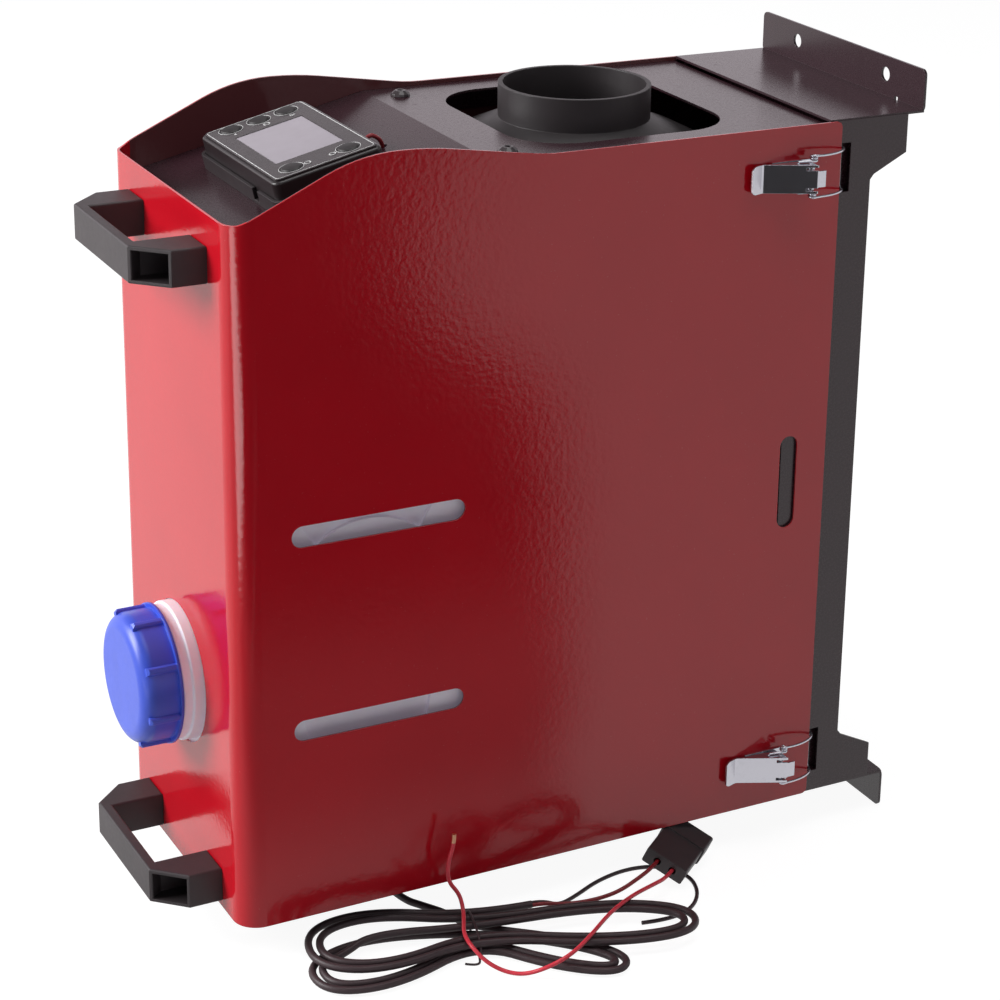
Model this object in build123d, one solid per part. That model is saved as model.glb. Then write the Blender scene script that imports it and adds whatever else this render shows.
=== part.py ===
from build123d import *
import os
from math import cos, pi, radians, sin, sqrt, tan

# Portable diesel air heater: a latched red cover over a steel chassis that holds a tank, a
# heater and a fuel pump. Millimetres. X is the width, the front (handles, filler cap) faces -Y,
# the wall side is +Y and Z is up. Sizes are written from the cover's front face (y = 0) and its
# bottom edge (z = 0); at the end everything moves to the wall mount, which is the origin.

# ---- driving dimensions --------------------------------------------------------------------
# red cover
cover_w = 150.0         # over its two side walls
cover_d = 305.5         # front face to rear edge
cover_h = 352.0         # height of the rear edge
front_drop = 17.0       # the rim at the front face is this far below the rear's
hump_rise = 9.0         # and the hump beside the controller this far above it
rim_bends = (5.0, 60.9, 92.0, 150.0)    # where the rim turns up, level, down and level again
rim_radii = (8.0, 80.0, 160.0, 90.0)
corner_r = 3.0          # of the side walls' rear corners
bend_r = 12.0           # outside radius of the cover's two bends
sheet = 1.2             # steel sheet of cover, panel, pan and chassis
fit = 0.3               # gap between sheets that slide past each other
rim_step = 2.0          # top panel below the rim, and pan above the bottom edge
lip, lip_front = 12.0, 16.0     # folded edge of panel and pan, and where it starts

# slots in the cover's sides
sight_len, sight_w = 84.5, 10.4
sight_y = 69.0
sight_z = (95.7, 190.4)
side_slot_len, side_slot_w = 47.5, 9.6
side_slot_y, side_slot_z = 284.3, 174.0

# top panel and controller
panel_bend_y = 126.0
panel_tilt = 13.3       # slope of the front part, degrees
panel_end_y = 299.8
duct_hole_w, duct_hole_d, duct_hole_r, duct_hole_y = 112.0, 110.0, 28.0, 207.0
duct_y = 202.8          # centre of the outlet and of the heater
panel_screw_x, panel_screw_y = 57.6, 139.0
ctrl_y = 62.0           # foot of the controller's centre on the panel
ctrl_w, ctrl_l, ctrl_r = 91.0, 52.7, 4.0
ctrl_case_t, face_t = 13.2, 0.8
cradle_t, cradle_wall = 1.6, 7.0
screen_w, screen_l = 48.5, 33.0
key_r, key_travel = 4.9, 0.8
lead_hole_x, lead_hole_y = 6.0, 40.0    # the lead's hole in the panel, in the controller's frame
keys = {"button_up": (-37, 14), "button_ok": (-37, 0.2), "button_down": (-37, -13.8),
        "button_power": (35, 14), "button_settings": (35, -13.6)}

# chassis and wall flanges
seam_y = 300.3          # front edge of the top plate, behind the top panel
back_y = 323.8          # rear face of the back wall
ear_y, ear_h, ear_slope = 343.7, 28.5, 9.0
flange_y = 353.6        # rear face of both wall flanges
flange_w, flange_h = 146.0, 19.4
flange_hole_r, flange_hole_x = 3.5, 40.0
flange_hole_up = 10.5   # hole centre above the top plate
relief_x, relief_r = 50.0, 1.5
side_front_y = 281.0    # the side plates reach this far under the cover
rail_h, rail_front_y, bar_d = 12.0, 133.0, 10.0
pipe_hole_w, pipe_hole_h = 90.0, 84.0
shelf_y, shelf_t, shelf_w, shelf_z0, shelf_z1 = 276.8, 2.0, 98.0, 96.0, 208.0

# handles
handle_w, handle_grip_w, handle_leg = 100.0, 72.0, 20.0
handle_out, handle_h, grip_t, handle_slant = 30.5, 17.0, 5.1, 14.5
handle_wall, handle_lip, handle_floor = 1.8, 0.9, 3.0
handle_low, handle_down = 12.0, 39.5    # from the cover's bottom edge and its rear height

# M5 button-head screws
screw_r, head_r, head_h, screw_len = 2.5, 4.75, 2.7, 8.2
nut_r, nut_h = 4.6, 3.9

# draw latches; x is measured out from the cover's face, y from the front
latch_z = 23.0          # from the cover's bottom edge and from its rear height
lever_t, lever_w = 1.0, 13.6
lever_pts = ((3.4, 254.8), (0.9, 261.8), (11.6, 285.0), (11.6, 289.6))
tongue_w = 7.8
pin_x, pin_y, pin_r, ear_r = 8.0, 283.6, 1.1, 2.0
bail_x, bail_y, bail_r = 5.6, 278.2, 0.8
plate_t, plate_w, plate_y0, plate_y1 = 1.0, 14.0, 267.0, 288.0
latch_ear_in, latch_ear_out = 4.4, 5.4
rivet_y = (270.6, 277.2)
rivet_r, rivet_head_r, rivet_head_h = 1.5, 2.2, 0.9
strike_y0, strike_d, strike_h = 306.2, 5.6, 24.0
hook_half, hook_in, hook_r = 9.8, 3.4, 6.4
guard_gap, guard_rear = 1.2, 8.0        # from the hook's wire to the guard behind the window
run_fit = 0.1           # running fit of pins and wires in their holes

# tank, filler and cap
tank_gap, tank_y0, tank_y1, tank_headroom = 3.3, 5.5, 125.0, 20.2
tank_wall, tank_r, tank_edge = 2.5, 16.0, 7.0
disc_y, disc_z, disc_r = 65.0, 153.0, 39.0      # round pad in the middle of each flank
recess_t = 1.8          # depth of the moulded recesses above and below it
filler_z, neck_r, neck_bore_r, collar_r = 101.0, 28.5, 25.5, 33.0
collar_end, neck_step_end, neck_end = 4.6, 9.2, 22.8
shoulder_out = 2.6      # base of the collar, just inside the sheet
cap_gap, cap_r, cap_rim_r, cap_rim_y, cap_top, cap_edge = 0.5, 31.0, 33.3, 10.0, 28.6, 7.0
cap_ribs, cap_rib_w, cap_rib_out, cap_rib_y, cap_phase = 8, 3.8, 1.7, 25.6, 28.4
liner_t, filler_hole_r, filler_hole_drop = 1.4, 34.2, 0.9
pickup_x, pickup_y, pickup_r = 45.0, 104.0, 2.5

# heater
casing_w, casing_d, casing_r, casing_wall = 110.0, 122.0, 30.0, 2.5
casing_z0, casing_down = 30.0, 34.0
inlet_r, outlet_r, outlet_wall, outlet_up, outlet_len = 43.0, 36.2, 2.2, 11.5, 16.0
hood_w, hood_d, hood_drop = 92.0, 118.0, 10.0
exch_r, exch_wall, exch_z0, exch_down, fins, fin_t = 36.0, 4.0, 132.0, 18.0, 28, 1.6
pedestal_w, pedestal_z0, pedestal_z1, gasket_t = 68.0, 107.0, 200.0, 1.5
exhaust_r, intake_r, stub_wall, stub_end, stub_shoulder = 12.0, 12.5, 1.5, 338.0, 0.7
exhaust_x, exhaust_z, intake_x, intake_z = -18.0, 162.0, 18.0, 126.0
burner_r, burner_wall, burner_z1, fuel_r, fuel_x, fuel_z = 26.0, 1.5, 214.0, 2.5, 16.0, 176.0
plug_x, plug_z, plug_r = -16.0, 188.0, 3.5
motor_r, motor_z0, motor_z1 = 24.0, 66.0, 103.0
shaft_r = 3.0
fan_r, fan_hub_r, fan_z0, fan_h, fan_blades = 40.0, 14.0, 40.0, 18.0, 7
blower_r, blower_z, blower_h, blower_vanes = 31.0, 110.0, 9.0, 12

# fuel line
pump_x, pump_y, pump_r, pump_z0, pump_z1 = 6.0, 297.0, 12.5, 226.0, 296.0
plunger_r, plunger_len, plunger_travel = 5.0, 24.0, 2.5
filter_x, filter_r, filter_z0, filter_z1 = 50.0, 9.0, 248.0, 286.0
hose_r, barb, line_r = 3.5, 7.0, 2.1

# wiring below the box
floor_drop = 20.0       # the hank lies this far below the cover's bottom edge
cable_r, lead_r, tie_r = 1.8, 1.0, 0.55
tie_left, tie_right = 15.6, 17.6        # how far the tie's wire runs to either side of the waist
grommet_x, grommet_y, grommet_r = -12.0, 152.0, 7.0
hank_x, hank_y, hank_angle = 98.5, 106.0, 75.5      # waist of the hank and its direction
hank_pitch, layer_gap = 5.2, 0.9
hank_turns = 2          # loops in each of the two layers
# direction, reach and half width of each layer's loops, to the front and to the rear
hank_lobes = (((272.0, 76.0, 17.0), (43.4, 70.0, 8.0)), ((258.3, 73.0, 22.0), (67.2, 100.0, 14.0)))
fuse_w, fuse_t, fuse_l, fuse_roll, fuse_turn = 22.5, 8.6, 36.0, 24.0, 129.9
fuse_at = (101.0, 216.8, -17.3)                     # its lowest corner

# worked out
half = cover_w / 2
panel_z = cover_h - rim_step
tilt = radians(panel_tilt)
front_rim, hump_rim = cover_h - front_drop, cover_h + hump_rise
handle_z = (handle_low, cover_h - handle_down)
tank_w = cover_w - 2 * (sheet + tank_gap)
tank_top = panel_z - panel_bend_y * tan(tilt) - tank_headroom
casing_z1 = cover_h - casing_down
exch_z1 = casing_z1 - exch_down
outlet_top = cover_h + outlet_up
axis_z = cover_h - latch_z
plate_top = cover_h + 0.5
mid_z = cover_h / 2
mount_z = plate_top + flange_hole_up
FRONT = Location((0, 0, filler_z), (90, 0, 0))       # local +Z points out of the front face
CTRL = Location((0, ctrl_y, panel_z - (panel_bend_y - ctrl_y) * tan(tilt)), (panel_tilt, 0, 0))
AXIS = Location((0, duct_y, 0))                      # the heater's own axis
MID = Plane((0, 0, mid_z))                           # level plane at half the cover's height


# ---- helpers -------------------------------------------------------------------------------
def block(x, y, z):
    """A box between two limits on each axis."""
    size = [b - a for a, b in (x, y, z)]
    return Pos(*[(a + b) / 2 for a, b in (x, y, z)]) * Box(*size)


def poly(points):
    return make_face(Polyline(*points, close=True))


def prism_x(points, x0, x1):
    """Outline in (y, z) pulled along X."""
    return extrude(Plane.YZ.offset(x0) * poly(points), x1 - x0)


def prism_z(points, z0, z1):
    """Outline in (x, y) pulled along Z."""
    return Pos(0, 0, z0) * extrude(poly(points), z1 - z0)


def rod(start, end, r):
    """A round bar between two points."""
    run = Vector(*end) - Vector(*start)
    return extrude(Plane(origin=start, z_dir=run) * Circle(r), run.length)


def tube(points, radii, r, sides=8):
    """A cord of straight runs joined by tangent arcs, with a many-sided section."""
    path = FilletPolyline(*points, radius=radii)
    return sweep(Plane(origin=path @ 0, z_dir=path % 0) * RegularPolygon(r, sides), path=path)


def turned(points):
    """A body of revolution about Z from (radius, height) points."""
    return revolve(Plane.XZ * poly(points), Axis.Z)


def both_ends(shape):
    """The shape with its mirror image at the other end of the chassis."""
    return shape + mirror(shape, about=MID)


def both_sides(shape):
    return shape + mirror(shape, about=Plane.YZ)


def cord(name, points, r, sides=8):
    """A free cord, with its radii and its volume against section times length."""
    radii = soft_radii(points)
    solid = tube(points, radii, r, sides)
    length = FilletPolyline(*points, radius=radii).length
    ratio = solid.volume / (RegularPolygon(r, sides).area * length)
    print(f"{name}: radii", " ".join(f"{x:.0f}" for x in radii))
    print(f"{name}: {length:.0f} mm long, volume ratio {ratio:.4f}")
    return solid


def soft_radii(points, share=0.45):
    """The largest arc that each corner of a free cord has room for."""
    pts = [Vector(*p) for p in points]
    radii = []
    for a, b, c in zip(pts, pts[1:], pts[2:]):
        turn = radians((b - a).get_angle(c - b))
        radii.append(share * min((b - a).length, (c - b).length) / tan(turn / 2))
    return radii


# ---- sheet metal ---------------------------------------------------------------------------
def plan(inset, depth=None):
    """Outline of the cover seen from above, moved in by an inset and cut off at a depth."""
    depth = cover_d if depth is None else depth
    w, r = cover_w - 2 * inset, max(bend_r - inset, 1.0)
    whole = Pos(0, depth + inset) * RectangleRounded(w, 2 * depth, r)
    return whole & Pos(0, depth / 2) * Rectangle(cover_w * 2, depth)


def rim_profile():
    """Side view of the cover: level rim at the rear, a hump beside the controller, low front."""
    up, level, down, flat = rim_bends
    edge = FilletPolyline((0, front_rim), (up, front_rim), (level, hump_rim), (down, hump_rim),
                          (flat, cover_h), (cover_d, cover_h), (cover_d, 0), (0, 0),
                          radius=[*rim_radii, corner_r, corner_r])
    return Plane.YZ * make_face(Curve() + [edge, Line((0, 0), (0, front_rim))])


def red_cover():
    wall = extrude(plan(0) - plan(sheet), hump_rim + 5)
    cover = wall & extrude(rim_profile(), cover_w, both=True)
    for z in sight_z:
        slot = Plane.YZ * Pos(sight_y, z) * SlotOverall(sight_len, sight_w)
        cover -= extrude(slot, cover_w, both=True)
    slot = Plane.YZ * Pos(side_slot_y, side_slot_z) * SlotOverall(side_slot_len, side_slot_w, 90)
    cover -= extrude(slot, cover_w, both=True)
    cover -= FRONT * Pos(0, -filler_hole_drop) * Cylinder(filler_hole_r, 4 * sheet)
    for z in handle_z:
        for x in (-1, 1):
            cover -= rod((x * handle_screw_x(), -5, z), (x * handle_screw_x(), 5, z),
                         screw_r + run_fit)
    for z in (latch_z, axis_z):
        for y in rivet_y:
            cover -= rod((-cover_w, y, z), (cover_w, y, z), rivet_r + run_fit)
    return cover


def panel_band(y0, depth):
    """Side view of the top panel from y0 back, this deep below its upper side."""
    top = [(y0, panel_z - (panel_bend_y - y0) * tan(tilt)), (panel_bend_y, panel_z),
           (panel_end_y, panel_z)]
    return top + [(y, z - depth) for y, z in reversed(top)]


def top_panel():
    edge = half - sheet - fit
    panel = prism_x(panel_band(0, sheet), -half, half) & extrude(
        plan(sheet + fit, panel_end_y), cover_h)
    panel += both_sides(prism_x(panel_band(lip_front, lip), edge - sheet, edge))
    hole = Pos(0, duct_hole_y) * RectangleRounded(duct_hole_w, duct_hole_d, duct_hole_r)
    panel -= Pos(0, 0, panel_z) * extrude(hole, lip / 2, both=True)
    for x in (-panel_screw_x, panel_screw_x):
        panel -= Pos(x, panel_screw_y, panel_z) * Cylinder(screw_r + run_fit, lip)
    return panel - CTRL * Pos(lead_hole_x, lead_hole_y) * Cylinder(2.5 * lead_r, lip)


def base_pan():
    edge = half - sheet - fit
    tray = Pos(0, 0, rim_step) * extrude(plan(sheet + fit, panel_end_y), sheet)
    tray += both_sides(block((edge - sheet, edge), (lip_front, panel_end_y),
                             (rim_step, rim_step + lip)))
    tray -= Pos(0, duct_y, rim_step) * Cylinder(inlet_r, lip)
    tray -= Pos(grommet_x, grommet_y, rim_step) * Cylinder(grommet_r - 2.0, lip)
    for x in (-panel_screw_x, panel_screw_x):
        tray -= Pos(x, panel_screw_y, rim_step) * Cylinder(screw_r + run_fit, lip)
    return tray


def ear_profile():
    """Side plate of the upper half: its stand-off ear and the straight edge below it."""
    top = plate_top - sheet / 2
    foot = plate_top - ear_h
    return [(seam_y, top), (ear_y, top), (ear_y, foot + ear_slope), (back_y + 2, foot),
            (back_y, foot - 2.5), (back_y, mid_z), (side_front_y, mid_z),
            (side_front_y, plate_top - lip - 6), (seam_y, plate_top - lip - 6)]


def wall_flange():
    """The top plate's rear edge, turned up, with two holes for wall screws."""
    w = flange_w / 2
    face = Pos(0, plate_top + (flange_h - sheet) / 2) * RectangleRounded(
        flange_w, flange_h + sheet, 3.0)
    face -= [Pos(x, mount_z) * Circle(flange_hole_r) for x in (-flange_hole_x, flange_hole_x)]
    flange = extrude(Plane((0, flange_y, 0), x_dir=(1, 0, 0), z_dir=(0, -1, 0)) * face, sheet)
    plate = block((-w, w), (seam_y, flange_y - sheet / 2), (plate_top - sheet, plate_top))
    return flange + plate


def chassis_half():
    side = half - sheet - fit
    half_shell = wall_flange()
    half_shell += both_sides(prism_x(ear_profile(), side - sheet, side))
    half_shell += block((-side, side), (back_y - sheet, back_y), (mid_z, plate_top - sheet / 2))
    # rails below the panel's lip, and the crossbar that its screws reach
    rail_x = side - sheet - fit
    z1 = panel_z - sheet
    half_shell += both_sides(block((rail_x - sheet, rail_x), (rail_front_y, seam_y),
                                   (z1 - rail_h, z1)))
    # behind the cover the rail joins the side plate above the window, and a guard hangs from it
    window_top, hook_x = axis_z + strike_h / 2, half - hook_in - bail_r - guard_gap
    half_shell += both_sides(block((hook_x - sheet, side - sheet / 2), (seam_y, back_y - sheet / 2),
                                   (window_top + fit, z1)))
    half_shell += both_sides(block((hook_x - sheet, hook_x),
                                   (seam_y, strike_y0 + strike_d + guard_rear),
                                   (window_top - strike_h - 2, window_top + sheet)))
    half_shell += block((-rail_x, rail_x), (rail_front_y, rail_front_y + bar_d), (z1 - sheet, z1))
    half_shell += block((-rail_x, rail_x), (rail_front_y, rail_front_y + sheet), (z1 - rail_h, z1))
    # relief hole on the flange's bend, strike windows for the latches, screw holes
    half_shell -= Pos(relief_x, flange_y - sheet / 2, plate_top) * Cylinder(relief_r, 3)
    half_shell -= both_sides(block((side - 1.5 * sheet, half), (strike_y0, strike_y0 + strike_d),
                                   (window_top - strike_h, window_top)))
    for x in (-panel_screw_x, panel_screw_x):
        half_shell -= Pos(x, panel_screw_y, z1) * Cylinder(screw_r + run_fit, 10)
    return half_shell


def shelf():
    """The bracket that the heater's base is bolted to, welded to the back wall."""
    w, y1 = shelf_w / 2, shelf_y + shelf_t
    plate = block((-w, w), (shelf_y, y1), (shelf_z0, shelf_z1))
    legs = both_sides(block((w - shelf_t, w), (shelf_y, back_y - sheet / 2), (shelf_z0, shelf_z1)))
    for x, z, r in stubs():
        plate -= rod((x, shelf_y - 5, z), (x, y1 + 5, z), r + stub_shoulder + fit)
    return plate + legs


def stubs():
    """Centre and radius of each pipe that leaves the heater's base."""
    return ((exhaust_x, exhaust_z, exhaust_r), (intake_x, intake_z, intake_r),
            (fuel_x, fuel_z, fuel_r), (plug_x, plug_z, plug_r))


def chassis():
    hole = Pos(0, (exhaust_z + intake_z) / 2) * RectangleRounded(pipe_hole_w, pipe_hole_h, 20)
    opening = extrude(Plane((0, back_y - 10, 0), x_dir=(1, 0, 0), z_dir=(0, -1, 0)) * hole, -20)
    return both_ends(chassis_half()) - opening + shelf()


# ---- handles and screws --------------------------------------------------------------------
def handle_screw_x():
    return (handle_w - handle_leg) / 2


def handle(z):
    """A bow handle with slanted corners and hollow legs that open on the slants."""
    w, g, leg = handle_w / 2, handle_grip_w / 2, handle_w / 2 - handle_leg
    knee = -(handle_out - handle_slant)
    right = [(leg, 0), (w, 0), (w, knee), (g, -handle_out)]
    outline = right + [(-x, y) for x, y in reversed(right)] + [(-leg, grip_t - handle_out)]
    bow = prism_z(outline + [(leg, grip_t - handle_out)], -handle_h / 2, handle_h / 2)
    bow = fillet(bow.faces().group_by(Axis.Z)[-1].edges() + bow.faces().group_by(Axis.Z)[0].edges(),
                 1.0)
    t, lip = handle_wall, handle_lip
    hollow = [(w - lip, -handle_floor), (w - lip, -handle_out), (g + lip, -handle_out),
              (g + lip, -handle_out + lip + 0.6), (leg + t, grip_t + t - handle_out),
              (leg + t, -handle_floor)]
    bow -= both_sides(prism_z(hollow, -handle_h / 2 + t, handle_h / 2 - t))
    x = handle_screw_x()
    bow -= both_sides(rod((x, -handle_floor - 1, 0), (x, 1, 0), screw_r + run_fit))
    return Pos(0, 0, z) * bow


def button_screw(grip):
    """M5 button head seated at z = 0 with its nut below a grip of this thickness."""
    rim, step = RegularPolygon(head_r, 12), head_h * 0.45
    screw = Pos(0, 0, -screw_len) * extrude(RegularPolygon(screw_r, 8), screw_len)
    screw += extrude(rim, step, taper=12) + Pos(0, 0, step) * extrude(
        scale(rim, 0.94), head_h - step, taper=50)
    screw += Pos(0, 0, -grip - nut_h) * extrude(RegularPolygon(nut_r, 6), nut_h)
    return screw - Pos(0, 0, head_h / 2) * extrude(RegularPolygon(1.7, 6), head_h)


def button_screws():
    """Four hold the handles; two each hold the panel and the pan to the chassis."""
    handles = [Location((x, -handle_floor, z), (90, 0, 0)) for z in handle_z
               for x in (-handle_screw_x(), handle_screw_x())]
    panels = [Location((x, panel_screw_y, z), (turn, 0, 0)) for x in (-panel_screw_x, panel_screw_x)
              for z, turn in ((panel_z, 0), (rim_step, 180))]
    return ([p * button_screw(handle_floor + sheet) for p in handles]
            + [p * button_screw(2 * sheet) for p in panels])


# ---- draw latches --------------------------------------------------------------------------
def latch_sheet(points, t, radii):
    """A bent strip seen from above, in (x out from the cover, y)."""
    return trace(FilletPolyline(*points, radius=radii), line_width=t)


def latch_lever():
    w = lever_w / 2
    tip, front, rear, end = lever_pts
    face = extrude(latch_sheet(lever_pts, lever_t, [3.0, 1.2]), lever_w / 2, both=True)
    # the tongue is narrower than the face, and the tip has rounded corners
    for s in (-1, 1):
        face -= block((rear[0] - 2, rear[0] + 2), (rear[1] + lever_t / 2, end[1] + 2),
                      sorted((s * tongue_w / 2, s * (w + 1))))
        face -= block((pin_x - 4, rear[0] + 2), (pin_y - 3.4, end[1] + 2),
                      sorted((s * (latch_ear_in - 0.2), s * (latch_ear_out + 0.3))))
    tip_round = Plane.YZ * Pos(tip[1] + 14 - 0.6, 0) * RectangleRounded(28, lever_w, 3.5)
    face &= extrude(tip_round, 40, both=True) + block((-1, 30), (front[1], end[1] + 5), (-w, w))
    slope = (rear[0] - front[0]) / (rear[1] - front[1])
    y0, y1 = front[1] + 2.6, rear[1] + 0.3
    web = [(1.5, y0), (front[0] + slope * (y0 - front[1]), y0), (rear[0] - 0.2, y1), (4.4, y1),
           (2.0, y1 - 8)]
    flange = prism_z(web, w - lever_t, w)
    flange += mirror(flange, about=Plane.XY)
    lever = face + flange
    lever -= Pos(pin_x, pin_y) * Cylinder(pin_r + run_fit, lever_w + 4)
    lever -= Pos(bail_x, bail_y) * Cylinder(bail_r + run_fit, lever_w + 4)
    return lever


def latch_bail():
    """Spring-wire loop: eyes in the lever's flanges, arms that dive into the strike window."""
    w = lever_w / 2 + 1.2
    bar_y = strike_y0 + bail_r + 0.3
    arm = [(bail_x, bail_y, lever_w / 2 - 0.9), (bail_x, bail_y, w),
           (bail_x + 0.5, bar_y, hook_half), (-hook_in, bar_y, hook_half)]
    radii = [1.3, hook_r, 1.6]
    far = [(x, y, -z) for x, y, z in reversed(arm)]
    bail = tube(arm + far, radii + radii[::-1], bail_r, 6)
    coil = Pos(bail_x + 0.1, bail_y + 9.0, w - 0.8) * extrude(RegularPolygon(2.1, 10), 2.6)
    return bail + coil + mirror(coil, about=Plane.XY)


def latch_base():
    """Riveted plate with two lanced ears and the lever's pin staked in them."""
    w = plate_w / 2
    plate = block((0, plate_t), (plate_y0, plate_y1), (-w, w))
    plate -= block((-1, 2), (pin_y - 4, plate_y1 - 1.2), (-latch_ear_in, latch_ear_in))
    ear = [(plate_t / 2, pin_y - ear_r), (pin_x, pin_y - ear_r), (pin_x, pin_y + ear_r),
           (plate_t / 2, pin_y + ear_r)]
    wing = prism_z(ear, latch_ear_in, latch_ear_out)
    wing += Pos(pin_x, pin_y, (latch_ear_in + latch_ear_out) / 2) * Cylinder(
        ear_r, latch_ear_out - latch_ear_in)
    plate += wing + mirror(wing, about=Plane.XY)
    pin = Pos(pin_x, pin_y) * Cylinder(pin_r, lever_w + 0.8)
    for y in rivet_y:
        plate -= rod((-1, y, 0), (3, y, 0), rivet_r + run_fit)
    return plate + pin


def latch_places():
    """Each latch's name ending and the mirror or shift that brings it to its place."""
    spots = {}
    for row, z in (("upper", axis_z), ("lower", latch_z)):
        spots[row + "_right"] = (1, z)
        spots[row + "_left"] = (-1, z)
    return spots


def at_latch(shape, side, z):
    shape = Pos(half, 0, z) * shape
    return shape if side > 0 else mirror(shape, about=Plane.YZ)


def latch_rivets():
    """Two rivets to a latch, through its base and the cover."""
    out = []
    for side, z in latch_places().values():
        for y in rivet_y:
            turn = Location((0, y, 0), (0, 90, 0))
            rivet = Pos(0, 0, -sheet) * extrude(RegularPolygon(rivet_r, 8), sheet + plate_t)
            rivet += Pos(0, 0, plate_t) * extrude(RegularPolygon(rivet_head_r, 10), rivet_head_h,
                                                  taper=25)
            rivet += Pos(0, 0, -sheet - 0.8) * extrude(RegularPolygon(rivet_head_r, 8), 0.8)
            rivet = turn * rivet
            out.append(at_latch(rivet, side, z))
    return out


# ---- controller, in its own frame on the sloped panel --------------------------------------
case_z0 = cradle_t + 0.2
case_z1 = case_z0 + ctrl_case_t
board_z0, board_t = case_z0 + 2.4, 1.6


def controller_cradle():
    w, l = ctrl_w + 2 * (cradle_t + fit), ctrl_l + 2 * (cradle_t + fit)
    tray = extrude(RectangleRounded(w, l, ctrl_r + 1), cradle_wall)
    tray -= Pos(0, 0, cradle_t) * extrude(
        RectangleRounded(ctrl_w + 2 * fit, ctrl_l + 2 * fit, ctrl_r), cradle_wall)
    tray -= block((19, 25), (-l / 2 - 1, -l / 2 + cradle_t + 1), (cradle_t, cradle_wall + 1))
    tray -= block((lead_hole_x - 1, lead_hole_x + 7), (l / 2 - cradle_t - 1, l / 2 + 1),
                  (cradle_t, cradle_wall + 1))
    clip = block((-33, -1), (l / 2 - cradle_t, l / 2), (cradle_wall - 2, cradle_wall + 3))
    return CTRL * (tray + clip)


def key_spots():
    return [Pos(x, y) for x, y in keys.values()]


def controller_case():
    case = Pos(0, 0, case_z0) * extrude(RectangleRounded(ctrl_w, ctrl_l, ctrl_r), ctrl_case_t)
    case = fillet(case.faces().sort_by(Axis.Z)[-1].edges(), 1.2)
    case -= Pos(0, 0, case_z0 + 1.8) * extrude(
        RectangleRounded(ctrl_w - 4, ctrl_l - 4, ctrl_r - 2), ctrl_case_t - 3.6)
    case -= Pos(0, 0, case_z1 - 2.6) * extrude(Rectangle(screen_w, screen_l), 4)
    for spot in key_spots():
        case -= spot * Pos(0, 0, case_z1) * Cylinder(key_r + fit, 6)
    case -= block((lead_hole_x, lead_hole_x + 6), (ctrl_l / 2 - 3, ctrl_l / 2 + 1),
                  (case_z0 + 2.4, case_z0 + 5.4))
    return CTRL * case


def controller_face():
    face = Pos(0, 0, case_z1) * extrude(RectangleRounded(ctrl_w - 3.4, ctrl_l - 3.4, 2.6), face_t)
    face -= Pos(0, 0, case_z1) * extrude(Rectangle(screen_w, screen_l), 3, both=True)
    for spot in key_spots():
        face -= spot * Pos(0, 0, case_z1) * Cylinder(key_r + fit, 4)
    return CTRL * face


def lcd_screen():
    z0 = board_z0 + board_t
    return CTRL * block((-screen_w / 2 + 0.1, screen_w / 2 - 0.1),
                        (-screen_l / 2 + 0.1, screen_l / 2 - 0.1), (z0, case_z1 + face_t - 0.2))


def controller_board():
    w, l = ctrl_w - 6, ctrl_l - 6
    board = block((-w / 2, w / 2), (-l / 2, l / 2), (board_z0, board_z0 + board_t))
    feet = [Pos(x, y, (case_z0 + 1.8 + board_z0) / 2) * Cylinder(2, board_z0 - case_z0 - 1.8)
            for x in (-w / 2 + 4, w / 2 - 4) for y in (-l / 2 + 4, l / 2 - 4)]
    for foot in feet:
        board += foot
    return CTRL * board


def key(spot):
    """A domed key with a collar under the case and a stem down to the board."""
    top, collar_z = case_z1 + face_t + 0.7, case_z1 - 1.8
    stem_z = board_z0 + board_t + key_travel + 0.15
    body = turned([(0, stem_z), (2.0, stem_z), (2.0, collar_z - 0.9), (key_r + 0.7, collar_z - 0.9),
                   (key_r + 0.7, collar_z - 0.1), (key_r, collar_z - 0.1), (key_r, top - 0.6),
                   (key_r - 0.7, top), (0, top + 0.2)])
    return CTRL * Pos(*spot) * body


def controller_lead():
    """Wires that leave the case, rise over the cradle's edge and go down through the panel."""
    x, y0, z = lead_hole_x + 3, ctrl_l / 2 - 0.5, case_z0 + 3.9
    pts = [(x, y0, z), (x, y0 + 5, z), (x, y0 + 9, z + 3), (x - 1, y0 + 14, z - 2),
           (lead_hole_x, lead_hole_y, -2), (lead_hole_x, lead_hole_y, -12)]
    return CTRL * tube(pts, soft_radii(pts), lead_r, 6)


# ---- tank, cap and pick-up -----------------------------------------------------------------
def tank_body(inset):
    w, d = tank_w - 2 * inset, tank_y1 - tank_y0 - 2 * inset
    z0, z1 = rim_step + sheet + inset, tank_top - inset
    r = max(tank_r - inset, 2)
    body = Pos(0, (tank_y0 + tank_y1) / 2, z0) * extrude(RectangleRounded(w, d, r), z1 - z0)
    edges = body.faces().sort_by(Axis.Z)[-1].edges() + body.faces().sort_by(Axis.Z)[0].edges()
    body = chamfer(edges, inset + 0.5) if inset else fillet(edges, tank_edge)
    # moulded recesses above and below a round pad stiffen both flanks
    upper = poly([(disc_y - 41, disc_z + 57), (disc_y + 41, disc_z + 57), (disc_y, disc_z - 15)])
    lower = poly([(disc_y - 35, disc_z - 33), (disc_y + 35, disc_z - 33),
                  (disc_y + 20, disc_z - 119), (disc_y - 20, disc_z - 119)])
    recess = offset(upper + lower, inset) - Pos(disc_y, disc_z) * Circle(disc_r - inset)
    cut = extrude(Plane.YZ.offset(tank_w / 2 - recess_t - inset) * recess, tank_w)
    return body - both_sides(cut)


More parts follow.
